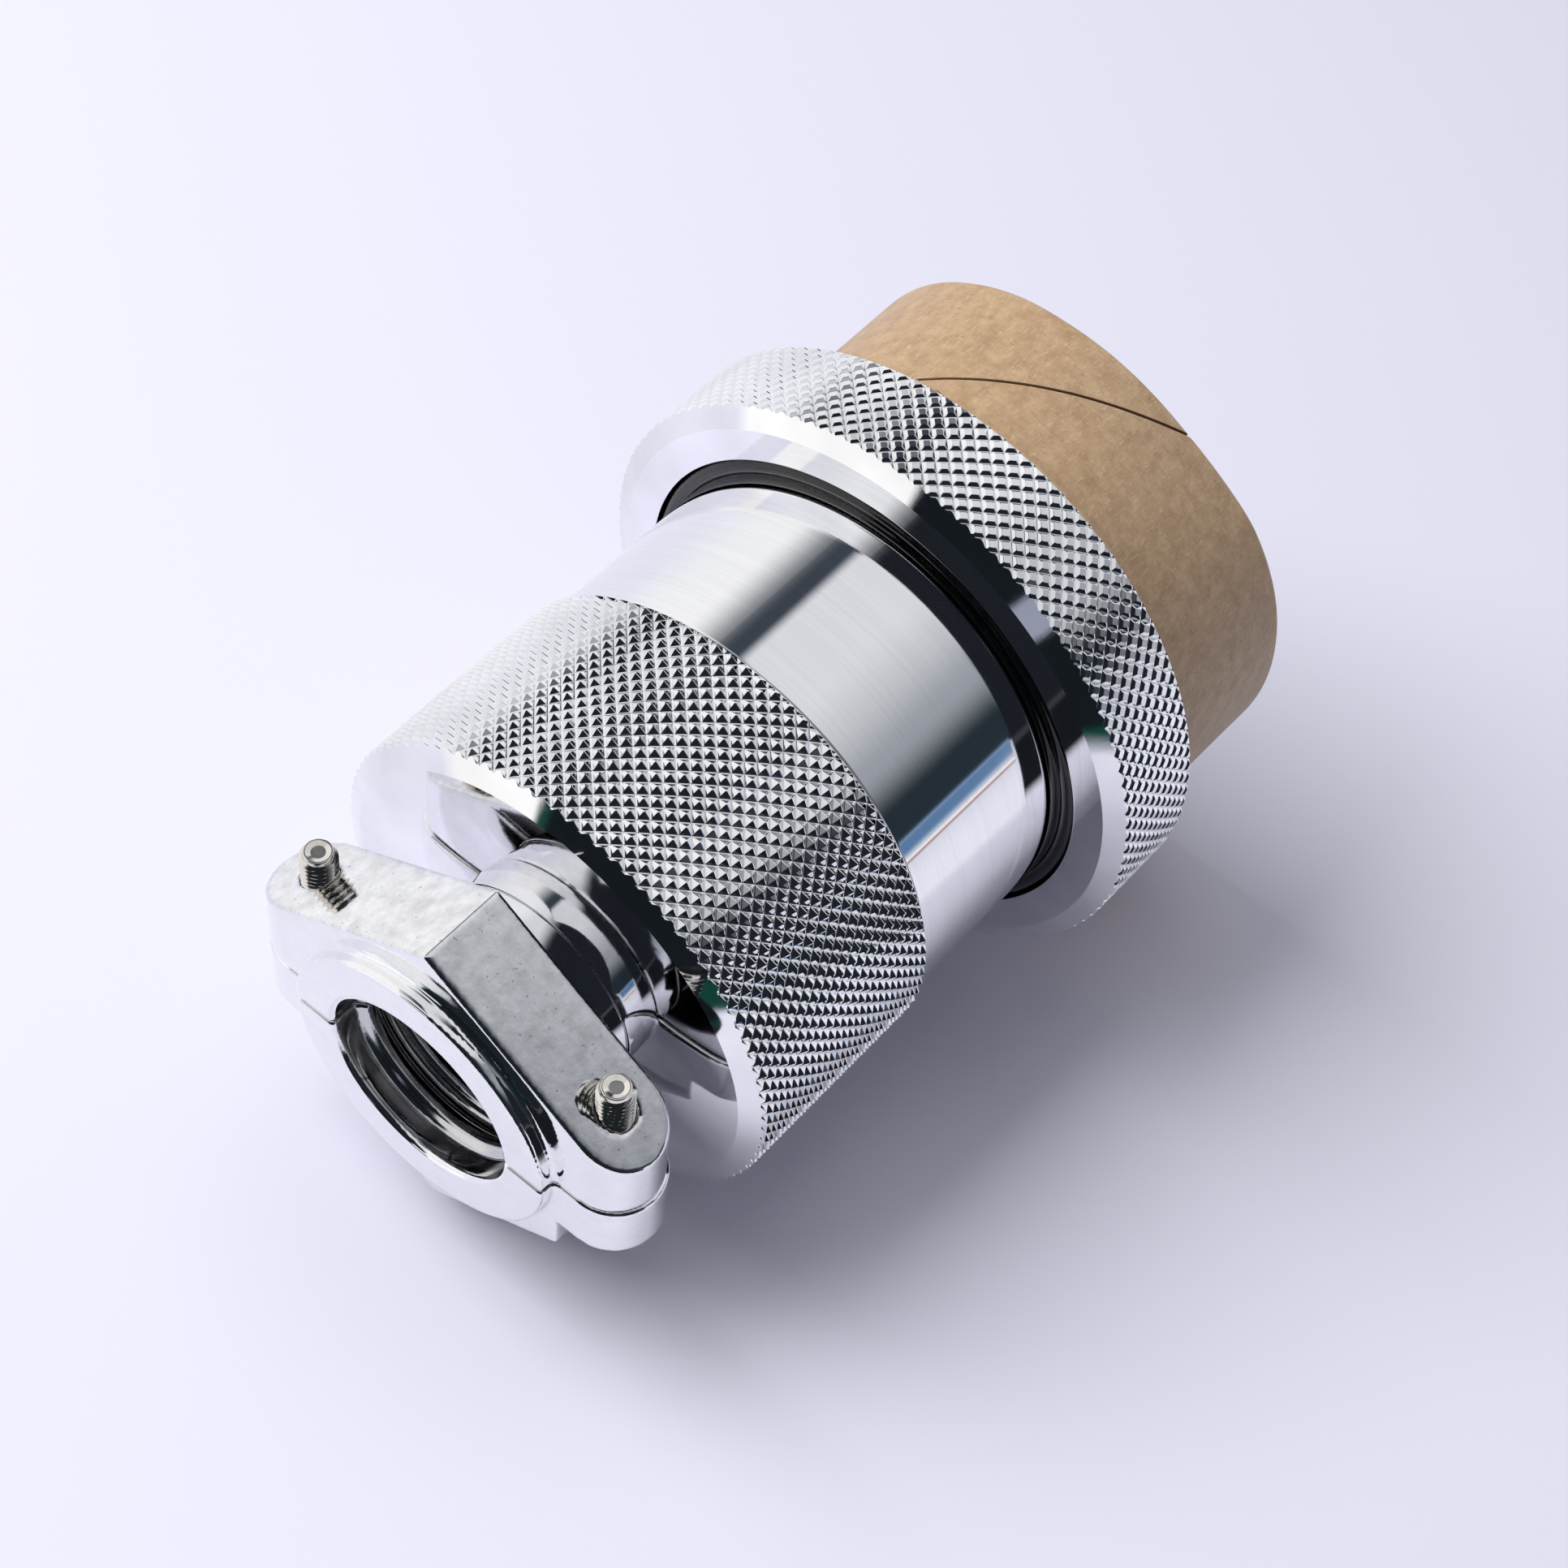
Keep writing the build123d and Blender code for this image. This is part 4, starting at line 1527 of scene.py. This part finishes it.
@dataclass
class CableClamp:
    """Two-part clamp: the fixed half with the neck, the loose saddle and the two screws.

    Attributes:
        gap: Width of the split between the halves, and step of the saddle above the fixed half.
        ear_x: Distance of the ears' round ends from the axis.
        ear_t: Depth of the fixed half's ears.
        boss: Half the width of the fixed half's middle.
        slope: Slope of the roof faces, in degrees.
        apex: Height of the roof above the split.
        thickness: Height of both halves along the axis.
        collar: Radius of the collar.
        collar_out: How far it stands out above the halves.
        sink: How far the collar and the neck reach into the halves.
        grip: Radius within the grip ridges.
        grip_depth: Height of the ridges.
        grip_pitch: Distance from ridge to ridge.
        ridges: Number of ridges.
        ridge_shares: Where a ridge's top ends and where its groove's floor starts and ends, as shares of
            the pitch.
        mouth: Height and width of the cone at the collar's rim.
        screw_x: Distance of the screws from the axis.
        screw_hole: Radius of the saddle's screw holes.
        screw_play: Radius of the fixed half's screw holes.
        seat: Depth at which the screws' heads sit.
        seat_hole: Radius of their seats.
        neck: Radius of the neck.
        cable: Radius of the cable's way.
        flange: Radius of the flange that the gland nut pulls on.
        flange_t: Its thickness.
        grain: Size of the cells that the castings are recast in.
        passes: Smoothing passes that round their edges.
        span: Heights of the halves, from the solids.
    """

    gap: float = 0.3
    ear_x: float = 15.18
    ear_t: float = 6.0
    boss: float = 13.0
    slope: float = 31.5
    apex: float = 17.475
    thickness: float = 8.1
    collar: float = 12.7
    collar_out: float = 1.4
    sink: Pair = (0.5, 0.3)
    grip: float = 7.9
    grip_depth: float = 0.8
    grip_pitch: float = 9.5 / 3.5
    ridges: int = 3
    ridge_shares: Triple = (0.4, 0.55, 0.85)
    mouth: Pair = (0.3, 0.4)
    screw_x: float = 14.88
    screw_hole: float = 1.56
    screw_play: float = 1.7
    seat: float = 4.0
    seat_hole: float = 3.0
    neck: float = 9.2
    cable: float = 7.5
    flange: float = 15.0
    flange_t: float = 2.3
    grain: float = 0.17
    passes: int = 15
    span: Pair = field(init=False)

    def __post_init__(self) -> None:
        """Takes the clamp's heights from the solids."""
        top = node_span("clamp_body")[1] - self.collar_out
        self.span = top - self.thickness, top

    def plan(self, half: Half) -> list[Pair]:
        """Outline of a half, seen along the plug's axis."""
        fall = math.tan(math.radians(self.slope))
        if half is Half.SADDLE:
            points = [(-self.apex / fall, 0), (self.apex / fall, 0), (0, self.apex)]
        else:
            reach = self.ear_x + self.thickness
            right = [(reach, 0), (reach, self.ear_t), (self.boss, self.ear_t),
                     (self.boss, self.apex - self.boss * fall)]
            points = right + [(0, self.apex)] + [(-x, y) for x, y in reversed(right)]
        return [(x, half.value * y) for x, y in points]

    def front(self, low: float, high: float, spans: int = 24) -> list[Pair]:
        """Outline of both ears and the middle, seen along the screws."""
        middle, radius = (low + high) / 2, (high - low) / 2
        arc = [math.pi * step / spans - math.pi / 2 for step in range(spans + 1)]
        right = [(self.ear_x + radius * math.cos(a), middle + radius * math.sin(a)) for a in arc]
        return right + [(-x, 2 * middle - z) for x, z in right]

    def grip_bore(self) -> bmesh.types.BMesh:
        """Cutter for the ridged bore, a little longer than the clamp."""
        low, high = self.span
        root = self.grip + self.grip_depth
        top_end, floor_start, floor_end = self.ridge_shares
        points: list[Corner] = [(0, low - 0.01, 0), (self.grip, low - 0.01, 0)]
        for ridge in range(self.ridges):
            z = low + ridge * self.grip_pitch
            points += [(self.grip, z + top_end * self.grip_pitch, 0.25),
                       (root, z + floor_start * self.grip_pitch, 0.15)]
            if ridge < self.ridges - 1:
                points += [(root, z + floor_end * self.grip_pitch, 0.15),
                           (self.grip, z + self.grip_pitch, 0.25)]
        rim = high + self.collar_out
        drop, out = self.mouth
        points += [(root, rim - drop, 0.2), (root + out, rim + 0.1, 0), (root + out, rim + OVER, 0),
                   (0, rim + OVER, 0)]
        return turned(rounded(points), 128)

    def rod(self, x: float, radius: float, low: float, high: float) -> bmesh.types.BMesh:
        """Cutter for a hole along Y, from one y to another."""
        return self.along_y(circle(radius, 48, x, (self.span[0] + self.span[1]) / 2), low, high)

    @staticmethod
    def along_y(outline: Sequence[Pair], low: float, high: float) -> bmesh.types.BMesh:
        """Block of an outline in X and Z that runs along Y."""
        turn = Matrix(((1, 0, 0, 0), (0, 0, 1, 0), (0, 1, 0, 0), (0, 0, 0, 1)))
        return prism(outline, low, high, turn)

    def half(self, half: Half) -> bpy.types.Mesh:
        """Mesh of one half, with its edges rounded."""
        side = half.value
        split = side * self.gap / 2
        low, high = self.span
        if half is Half.SADDLE:
            low += self.gap
        near, far = sorted((split, side * (self.apex + OVER)))
        block = to_mesh(self.along_y(self.front(low, high), near, far), "clamp_block")
        steps = [(Joining.KEEP_COMMON, prism(self.plan(half), low - OVER, high + OVER)),
                 (Joining.ADD, prism(circle(self.collar, 192), high - self.sink[0], high + self.collar_out)),
                 (Joining.CUT, prism(rectangle(WIDE, split, -side * WIDE), low - OVER, high + 5 * OVER))]
        if half is Half.BODY:
            foot = node_span("clamp_body")[0]
            top, neck_top = foot + self.flange_t, low + self.sink[1]
            neck = rounded([(0, foot, 0), (self.flange, foot, 0.3), (self.flange, top, 0.3),
                            (self.neck, top, 0.3), (self.neck, neck_top, 0), (0, neck_top, 0)])
            steps += [(Joining.ADD, turned(neck)),
                      (Joining.CUT, prism(circle(self.cable, 128), foot - OVER, low + OVER))]
        steps.append((Joining.CUT, self.grip_bore()))
        for x in (-self.screw_x, self.screw_x):
            if half is Half.SADDLE:
                steps.append((Joining.CUT, self.rod(x, self.screw_hole, -self.apex, OVER)))
            else:
                steps.append((Joining.CUT, self.rod(x, self.screw_play, -OVER, self.apex)))
                steps.append((Joining.CUT, self.rod(x, self.seat_hole, self.seat, self.apex)))
        return cast(combine(block, steps), self.grain, self.passes)

    def build(self, thread: FieldTree) -> None:
        """Builds both halves and the screws."""
        mount(self.half(Half.BODY), "clamp_body_cast", "clamp_unit", CLAMP_CHROME, ["clamp_body"])
        mount(self.half(Half.SADDLE), "clamp_saddle_cast", "clamp_saddle", CLAMP_CHROME, ["clamp_saddle"])
        for name, x in (("clamp_screw_left", self.screw_x), ("clamp_screw_right", -self.screw_x)):
            ClampScrew(name, x, (self.span[0] + self.span[1]) / 2).build(thread)


@dataclass
class ClampScrew:
    """Slotted screw with a fine thread and a cupped tip.

    Attributes:
        name: Name of the solid that it replaces.
        x: Where its axis lies.
        z: Height of its axis.
        radius: Radius of the thread's crests.
        root: Radius at its root.
        pitch: Its pitch.
        turn_rings: Rings of points in each of its turns.
        thread_ends: Plain lengths behind the tip's cone and under the head.
        fade: Length over which it fades out at each end.
        head: Radius of the head.
        head_h: Its height.
        slot: Width and depth of its slot.
        tip_edge: Size of the tip's cone.
        cup: Radius and depth of the tip's hollow.
        segments: Segments of the turned section.
    """

    name: str
    x: float
    z: float
    radius: float = 1.5
    root: float = 1.22
    pitch: float = 0.5
    turn_rings: int = 10
    thread_ends: Pair = (0.05, 0.6)
    fade: float = 0.3
    head: float = 2.75
    head_h: float = 2.0
    slot: Pair = (0.8, 0.9)
    tip_edge: float = 0.3
    cup: Pair = (0.98, 0.14)
    segments: int = 32

    def build(self, thread: FieldTree) -> None:
        """Builds the screw along +Z from its tip, then lays it along Y."""
        low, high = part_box(self.name)
        length = (high.y - low.y) / MM
        under = length - self.head_h
        start, end = self.tip_edge + self.thread_ends[0], under - self.thread_ends[1]
        cup, hollow = self.cup
        tip = [(0, hollow, 0), (cup * 0.6, hollow, 0.1), (cup, 0, 0.12),
               (self.radius - self.tip_edge - 0.05, 0, 0.15), (self.root, start - 0.02, 0),
               (self.root, start, 0)]
        head = [(self.root, end, 0), (self.root, under, 0.05), (self.head, under, 0.1),
                (self.head, length, 0.35), (0, length, 0)]
        bm = bmesh.new()
        for run in (tip, head):
            turn_into(bm, open_outline(run), even_angles(self.segments))
        bm.from_mesh(ThreadedTube(self.segments, int((end - start) / self.pitch * self.turn_rings), self.root,
                                  self.radius - self.root, self.pitch, start, end, self.fade
                                  ).mesh(thread, SCREW_NICKEL))
        width, depth = self.slot
        cutter = prism(rectangle(self.head + OVER, -width / 2, width / 2), length - depth, length + OVER)
        mesh = combine(to_mesh(bm, self.name), [(Joining.CUT, cutter)])
        mesh.transform(Matrix(((-1, 0, 0, self.x), (0, 0, 1, low.y / MM), (0, 1, 0, self.z), (0, 0, 0, 1))))
        shade(mesh, 38)
        mount(mesh, self.name + "_threaded", self.name, SCREW_NICKEL, [self.name])


@dataclass
class PaperSleeve:
    """Wound paper tube over the mating end, with the spiral seam of its outer ply.

    Attributes:
        wall: Thickness of the board.
        centre_x: How far the tube has sunk to one side.
        seam_low: Angle of the seam at the free end, in degrees.
        seam_rise: Millimetres of height for each degree round the tube.
        seam_width: Half width of the seam's groove.
        seam_depth: Depth of the groove.
        seam_columns: Columns of the grid beside the seam, in half widths of the groove.
        seam_inside: Columns nearer to the seam than this lie in the groove, in half widths.
        seam_skin: Depth below the outside down to which the groove reaches.
        edges: Fillets of the upper and of the free end.
        dents: How far the free end is pressed out at some angles, in degrees and millimetres.
        dent_reach: Share of the height up to which the dents reach.
        dent_fall: Power with which they fade out on the way.
        columns: Columns of the grid round the tube.
        rows: Rows of the grid along it.
    """

    wall: float = 1.1
    centre_x: float = -1.0
    seam_low: float = -119.3
    seam_rise: float = 0.2586
    seam_width: float = 0.27
    seam_depth: float = 0.24
    seam_columns: tuple[float, ...] = (-2.6, -1.0, -0.9, 0.9, 1.0, 2.6)
    seam_inside: float = 0.95
    seam_skin: float = 0.4
    edges: Pair = (0.3, 0.35)
    dents: tuple[Pair, ...] = (
        (-180, 0.0), (-160, -0.1), (-143, -0.4), (-131, -1.1), (-119, -1.45), (-107, -1.25), (-95, -0.85),
        (-83, -0.4), (-71, 0.2), (-59, 0.45), (-47, 0.5), (-25, 0.0), (10, 0.1), (60, 0.5), (110, 0.6),
        (150, 0.3))
    dent_reach: float = 0.8
    dent_fall: float = 1.5
    columns: int = 240
    rows: int = 40

    def grid_columns(self, reach: float) -> list[float]:
        """Angles of the grid's columns at the free end, close together at the seam."""
        seam = math.radians(self.seam_low)
        near = [seam + place * self.seam_width / reach for place in self.seam_columns]
        return sorted(near + [seam + TURN * index / self.columns for index in range(1, self.columns)])

    def grid_rows(self, reach: float, low: float, high: float) -> list[Pair]:
        """Radius and height of the grid's rows, round the section of the wall."""
        upper, free = self.edges
        inner = reach - self.wall
        section = rounded([(inner, high, upper), (inner, low, free), (reach, low, free),
                           (reach, high, upper)], 4)
        rows: list[Pair] = []
        for a, b in zip(section, section[1:] + section[:1]):
            span = max(1, round(abs(b[1] - a[1]) / ((high - low) / self.rows)))
            rows += [(a[0] + (b[0] - a[0]) * k / span, a[1] + (b[1] - a[1]) * k / span) for k in range(span)]
        return rows

    def build(self) -> None:
        """Builds the tube on a grid that leans with its seam."""
        low, high = node_span("paper_sleeve")
        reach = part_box("paper_sleeve")[1].y / MM
        seam, columns = math.radians(self.seam_low), self.grid_columns(reach)
        bm = bmesh.new()
        seam_layer = bm.verts.layers.float.new("seam")
        rings: list[Ring] = []
        for r, z in self.grid_rows(reach, low, high):
            ring: Ring = []
            for column in columns:
                angle = column + math.radians((z - low) / self.seam_rise)
                beside = min(abs(column - seam), abs(column - seam - TURN)) * reach
                in_seam = beside < self.seam_width * self.seam_inside and r > reach - self.seam_skin
                radius = r + self.press(angle, (z - low) / (high - low)) - (self.seam_depth if in_seam else 0)
                vertex = bm.verts.new((self.centre_x + radius * math.cos(angle), radius * math.sin(angle), z))
                vertex[seam_layer] = float(in_seam)
                ring.append(vertex)
            rings.append(ring)
        for first, second in zip(rings, rings[1:] + rings[:1]):
            skin(bm, first, second)
        bmesh.ops.recalc_face_normals(bm, faces=bm.faces)
        mesh = bpy.data.meshes.new("paper_sleeve")
        bm.to_mesh(mesh)
        bm.free()
        shade(mesh, 60)
        mount(mesh, "paper_sleeve_wound", "paper_sleeve", KRAFT, ["paper_sleeve"])

    def press(self, angle: float, height: float) -> float:
        """How far the wall is pressed in or out, most at the free end.

        Args:
            angle: Angle round the tube.
            height: Share of the height above the free end.

        Returns:
            The shift in millimetres.
        """
        free = (1 - min(height / self.dent_reach, 1)) ** self.dent_fall
        turned_to = math.degrees(angle + math.pi) % 360 - 180
        count = len(self.dents)
        # The shift follows a smooth curve through the four dents nearest to the angle.
        after = next((i for i, dent in enumerate(self.dents) if dent[0] > turned_to), count)
        (a0, _), (a1, _) = self.dents[after - 1], self.dents[after % count]
        share = (turned_to - a0) / ((a1 - a0) % 360)
        before, start, end, beyond = (self.dents[(after + k) % count][1] for k in (-2, -1, 0, 1))
        bend = (end - before, 2 * before - 5 * start + 4 * end - beyond, 3 * (start - end) + beyond - before)
        shift = start + 0.5 * share * (bend[0] + share * (bend[1] + share * bend[2]))
        return free * shift


# Studio

TABLE_UP = Vector((0, -0.990, -0.140)).normalized()
TABLE_AWAY = Vector((0.494, 0.122, -0.861)).normalized()
TABLE_RIGHT = TABLE_AWAY.cross(TABLE_UP).normalized()


def table_direction(azimuth: float, elevation: float) -> Vector:
    """Direction over the table.

    Args:
        azimuth: Degrees from straight away from the camera towards its right.
        elevation: Degrees above the table.

    Returns:
        The unit vector.
    """
    az, el = math.radians(azimuth), math.radians(elevation)
    level = TABLE_AWAY * math.cos(az) + TABLE_RIGHT * math.sin(az)
    return level * math.cos(el) + TABLE_UP * math.sin(el)


@dataclass(frozen=True)
class Panel:
    """Patch of the studio that the metal mirrors.

    Attributes:
        azimuth: Degrees from away to the right.
        elevation: Degrees above the table.
        width: Half its width, in degrees.
        height: Half its height, in degrees.
        soft: Width of its faded rim, in degrees.
        colour: Its colour.
        roll: Turn of the patch in its own plane, in degrees.
        fade: Extra width of the faded rim on its left side, in degrees.
    """

    azimuth: float
    elevation: float
    width: float
    height: float
    soft: float
    colour: Colour
    roll: float = 0.0
    fade: float = 0.0


@dataclass(frozen=True)
class Lamp:
    """Large soft lamp aimed at the plug.

    Attributes:
        name: Its name.
        azimuth: Degrees from away to the right.
        elevation: Degrees above the table.
        distance: Metres from the plug.
        size: Side of its square face, in metres.
        power: Watts.
        colour: Colour of its light.
    """

    name: str
    azimuth: float
    elevation: float
    distance: float
    size: float
    power: float
    colour: Colour = (1.0, 1.0, 1.0)


PANELS = (
    Panel(0, 88, 40, 40, 20, (0.885, 0.89, 0.905)),
    Panel(165, 31, 62, 40, 12, (0.12, 0.135, 0.16)),
    Panel(-60, 30, 26, 30, 14, (1.0, 1.0, 1.0)),
    Panel(86, 27, 28, 25, 36, (0.62, 0.635, 0.665)),
    Panel(-14, 57, 4, 40, 5, (0.24, 0.27, 0.31), 145, 15),
    Panel(109.4, 12, 6.5, 22.6, 1.6, (0.15, 0.19, 0.22), -90, 18),
    Panel(91.8, 2.2, 3.2, 5, 3.5, (0.36, 0.50, 0.66), 90),
    Panel(91.8, -2.9, 0.45, 5, 0.5, (0.96, 0.98, 1.0), 90),
    Panel(91.8, -4.1, 0.45, 5, 0.5, (0.70, 0.50, 0.46), 90),
    Panel(145, -22, 32, 17, 6, (0.10, 0.11, 0.13)),
    Panel(-113, -13, 13, 15, 3, (1.04, 1.04, 1.04)),
    Panel(-155, -2, 30.5, 35.5, 2, (0.08, 0.26, 0.22)),
    Panel(-155, -0.5, 28.5, 31.5, 2, (0.09, 0.11, 0.13)),
    Panel(-113, -4.5, 21.5, 10, 2, (1.04, 1.04, 1.04)),
    Panel(-159.4, -14.2, 2.6, 3.4, 1.5, (0.60, 0.615, 0.69)),
)
LAMPS = (
    Lamp("key_lamp", -97, 49, 0.8, 0.6, 7.1, (1.0, 0.99, 0.985)),
    Lamp("top_lamp", -20, 80, 0.7, 0.5, 0.9, (0.97, 0.98, 1.0)),
)


@dataclass
class Studio:
    """Camera, table and light.

    Attributes:
        eye: Camera's place.
        right: Its right-hand direction.
        up: Its upward direction.
        focal_px: Its focal length in pixels of the frame.
        frame_px: Side of the frame.
        sensor: Side of the sensor.
        clip: Nearest and furthest distance that the camera sees, in metres.
        table_point: A point of the table.
        floor_side: Side of the table, in metres.
        background: Colour behind everything.
        floor_colour: Colour of the table.
        floor_gloss: Its roughness and the strength of its shine.
        under: Colour that the metal mirrors from straight below, a painted shadow standing for the table in
            the plug's shade.
        table_mirror: Colour that it mirrors from the table further out.
        sky_high: Colour that it mirrors from above.
        under_levels: Heights between which the colour below gives way to the table's.
        high_levels: Heights between which the table's colour gives way to the one above.
        mirror_right: Middle and reach of the part of the table that the metal mirrors, to the right.
        mirror_away: The same, away from the camera.
        mirror_rim: Where that part fades out, as squares of its reach.
        fill_strength: Strength of the even light from all round.
        mirror_strength: Strength of what the metal mirrors.
        lamp_aim: Where the lamps point.
    """

    eye: Vector = field(default_factory=lambda: Vector((-89.7, -215.6, 163.2)))
    right: Vector = field(default_factory=lambda: Vector((-0.762, -0.066, -0.645)))
    up: Vector = field(default_factory=lambda: Vector((0.557, -0.576, -0.599)))
    focal_px: float = 4050.0
    frame_px: float = 1932.0
    sensor: float = 36.0
    clip: Pair = (0.01, 10.0)
    table_point: Vector = field(default_factory=lambda: Vector((0, 27.0, 25.3)))
    floor_side: float = 4.0
    background: Colour = (0.932, 0.936, 0.985)
    floor_colour: Colour = (0.90, 0.90, 0.955)
    floor_gloss: Pair = (0.55, 0.25)
    under: Colour = (0.45, 0.46, 0.50)
    table_mirror: Colour = (0.93, 0.935, 0.985)
    sky_high: Colour = (0.97, 0.975, 0.985)
    under_levels: Pair = (-0.98, -0.9)
    high_levels: Pair = (-0.1, 0.5)
    mirror_right: Pair = (0.0, 50.0)
    mirror_away: Pair = (-30.0, 45.0)
    mirror_rim: Pair = (1.4, 2.5)
    fill_strength: float = 0.27
    mirror_strength: float = 1.0
    lamp_aim: Vector = field(default_factory=lambda: Vector((0, 0, 42)))

    def build(self) -> None:
        """Builds everything around the plug."""
        self.camera()
        self.floor()
        self.lamps()
        self.sky()
        bpy.context.scene.view_settings.view_transform = "Standard"

    def camera(self) -> None:
        """Camera at the photograph's place, with its lens."""
        data = bpy.data.cameras.new("camera")
        data.sensor_width = self.sensor
        data.lens = self.focal_px / self.frame_px * self.sensor
        data.clip_start, data.clip_end = self.clip
        camera = bpy.data.objects.new("camera", data)
        right = self.right.normalized()
        back = right.cross(self.up).normalized()
        up = back.cross(right)
        turn = Matrix((right, up, back)).transposed().to_4x4()
        camera.matrix_world = Matrix.Translation(self.eye * MM) @ turn
        bpy.context.scene.collection.objects.link(camera)
        bpy.context.scene.camera = camera

    def floor(self) -> None:
        """Table that touches both nuts; from below it lets the view through."""
        half = self.floor_side / 2
        mesh = bpy.data.meshes.new("table")
        corners = [TABLE_RIGHT * x + TABLE_AWAY * y for x, y in rectangle(half, -half, half)]
        mesh.from_pydata([self.table_point * MM + corner for corner in corners], [], [(0, 1, 2, 3)])
        mesh.update()
        if mesh.polygons[0].normal.dot(TABLE_UP) < 0:
            mesh.flip_normals()
        table = bpy.data.objects.new("table", mesh)
        bpy.context.scene.collection.objects.link(table)
        shader = Shader("table_board")
        shader.set(Base_Color=linear(self.floor_colour), Roughness=self.floor_gloss[0],
                   Specular_IOR_Level=self.floor_gloss[1])
        tree = shader.tree
        clear = tree.nodes.new("ShaderNodeBsdfTransparent")
        behind = tree.nodes.new("ShaderNodeNewGeometry").outputs["Backfacing"]
        mirrored = tree.nodes.new("ShaderNodeLightPath").outputs["Is Glossy Ray"]
        squares = []
        for axis, (centre, reach) in ((TABLE_RIGHT, self.mirror_right), (TABLE_AWAY, self.mirror_away)):
            place = shader.along(shader.place, axis * (1 / (reach * MM)))
            offset = shader.math("SUBTRACT", place, centre / reach)
            squares.append(shader.product(offset, offset))
        outside = shader.smooth(shader.math("ADD", *squares), *self.mirror_rim)
        hidden = shader.math("MAXIMUM", behind, shader.product(mirrored, outside))
        mix = tree.nodes.new("ShaderNodeMixShader")
        tree.links.new(hidden, mix.inputs[0])
        tree.links.new(shader.surface.outputs[0], mix.inputs[1])
        tree.links.new(clear.outputs[0], mix.inputs[2])
        tree.links.new(mix.outputs[0], tree.nodes["Material Output"].inputs[0])
        mesh.materials.append(shader.material)

    def lamps(self) -> None:
        """Soft lamps over the table."""
        for lamp in LAMPS:
            data = bpy.data.lights.new(lamp.name, "AREA")
            data.shape, data.size = "SQUARE", lamp.size
            data.energy, data.color = lamp.power, lamp.colour
            light = bpy.data.objects.new(lamp.name, data)
            direction = table_direction(lamp.azimuth, lamp.elevation)
            light.location = self.lamp_aim * MM + direction * lamp.distance
            light.rotation_euler = direction.to_track_quat("Z", "Y").to_euler()
            light.visible_glossy = False
            bpy.context.scene.collection.objects.link(light)

    def sky(self) -> None:
        """World: plain for the camera and for soft light, with the studio's panels in the metal's mirror."""
        world = bpy.data.worlds.new("studio")
        bpy.context.scene.world = world
        world.use_nodes = True
        tree = world.node_tree
        paint = SkyPaint(tree)
        height = paint.along(paint.direction, TABLE_UP)
        # The darker colour below is a painted shadow: the table in the plug's shade, seen only in the metal's
        # mirror.
        mirror = paint.blend(paint.smooth(height, *self.under_levels), linear(self.under),
                             linear(self.table_mirror))
        mirror = paint.blend(paint.smooth(height, *self.high_levels), mirror, linear(self.sky_high))
        for panel in PANELS:
            mirror = paint.blend(paint.patch(panel), mirror, linear(panel.colour))
        rays = tree.nodes.new("ShaderNodeLightPath")
        soft = paint.background(linear(self.background), self.fill_strength)
        shown = paint.background(linear(self.background), 1.0)
        mirrored = paint.background(mirror, self.mirror_strength)
        first = paint.choose(rays.outputs["Is Glossy Ray"], soft, mirrored)
        last = paint.choose(rays.outputs["Is Camera Ray"], first, shown)
        last = paint.choose(rays.outputs["Is Transmission Ray"], last, shown)
        tree.links.new(last, tree.nodes["World Output"].inputs[0])


class SkyPaint(Nodes):
    """Paints the world by direction.

    Attributes:
        facing: Least share of a direction that has to point towards a panel.
    """

    facing: float = 0.02

    def __init__(self, tree: bpy.types.NodeTree) -> None:
        """Starts painting.

        Args:
            tree: The world's node tree.
        """
        super().__init__(tree)
        self.direction = tree.nodes.new("ShaderNodeTexCoord").outputs["Generated"]

    def patch(self, panel: Panel) -> Socket:
        """Mask of a panel, 1 inside it."""
        centre = table_direction(panel.azimuth, panel.elevation)
        side = TABLE_UP.cross(centre).normalized()
        top = centre.cross(side).normalized()
        roll = math.radians(panel.roll)
        across = side * math.cos(roll) + top * math.sin(roll)
        upward = top * math.cos(roll) - side * math.sin(roll)
        front = self.along(self.direction, centre)
        mask = self.math("GREATER_THAN", front, self.facing)
        for axis, half, fade in ((across, panel.width, panel.fade), (upward, panel.height, 0.0)):
            slant = self.math("ARCTANGENT", self.math("DIVIDE", self.along(self.direction, axis), front))
            degrees = self.math("DEGREES", slant)
            rim = panel.soft / 2
            mask = self.math("MULTIPLY", mask, self.smooth(degrees, -half - rim - fade, rim - half))
            mask = self.math("MULTIPLY", mask, self.smooth(degrees, half + rim, half - rim))
        return mask

    def background(self, colour: object, strength: float) -> Socket:
        """Background of a colour."""
        return self.add("ShaderNodeBackground", Color=colour, Strength=strength).outputs[0]

    def choose(self, ray: Socket, other: Socket, this: Socket) -> Socket:
        """One background for a kind of ray, and another for the rest."""
        node = self.tree.nodes.new("ShaderNodeMixShader")
        for socket, value in zip(node.inputs, (ray, other, this)):
            self.tree.links.new(value, socket)
        return node.outputs[0]


def main() -> None:
    """Builds the plug and its studio."""
    logging.basicConfig(level=logging.INFO, format="%(name)s %(message)s")
    knurl, thread = knurl_tree(), thread_tree()
    CouplingNut().build(knurl, thread)
    GlandNut().build(knurl)
    Barrel().build(thread)
    RubberRing().build()
    CableClamp().build(thread)
    PaperSleeve().build()
    contacts = [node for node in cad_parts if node.startswith("contact_")]
    for finish, nodes in ((CONTACT_SILVER, contacts), (INSERT_MOULDING, ("insert_front", "insert_rear")),
                          (SPRING_STEEL, ("insert_snap_ring", "gland_washer")),
                          (BLACK_RUBBER, ("face_gasket", "sealing_bush"))):
        for node in nodes:
            dress(node, finish)
    Studio().build()


if __name__ == "__main__":
    main()
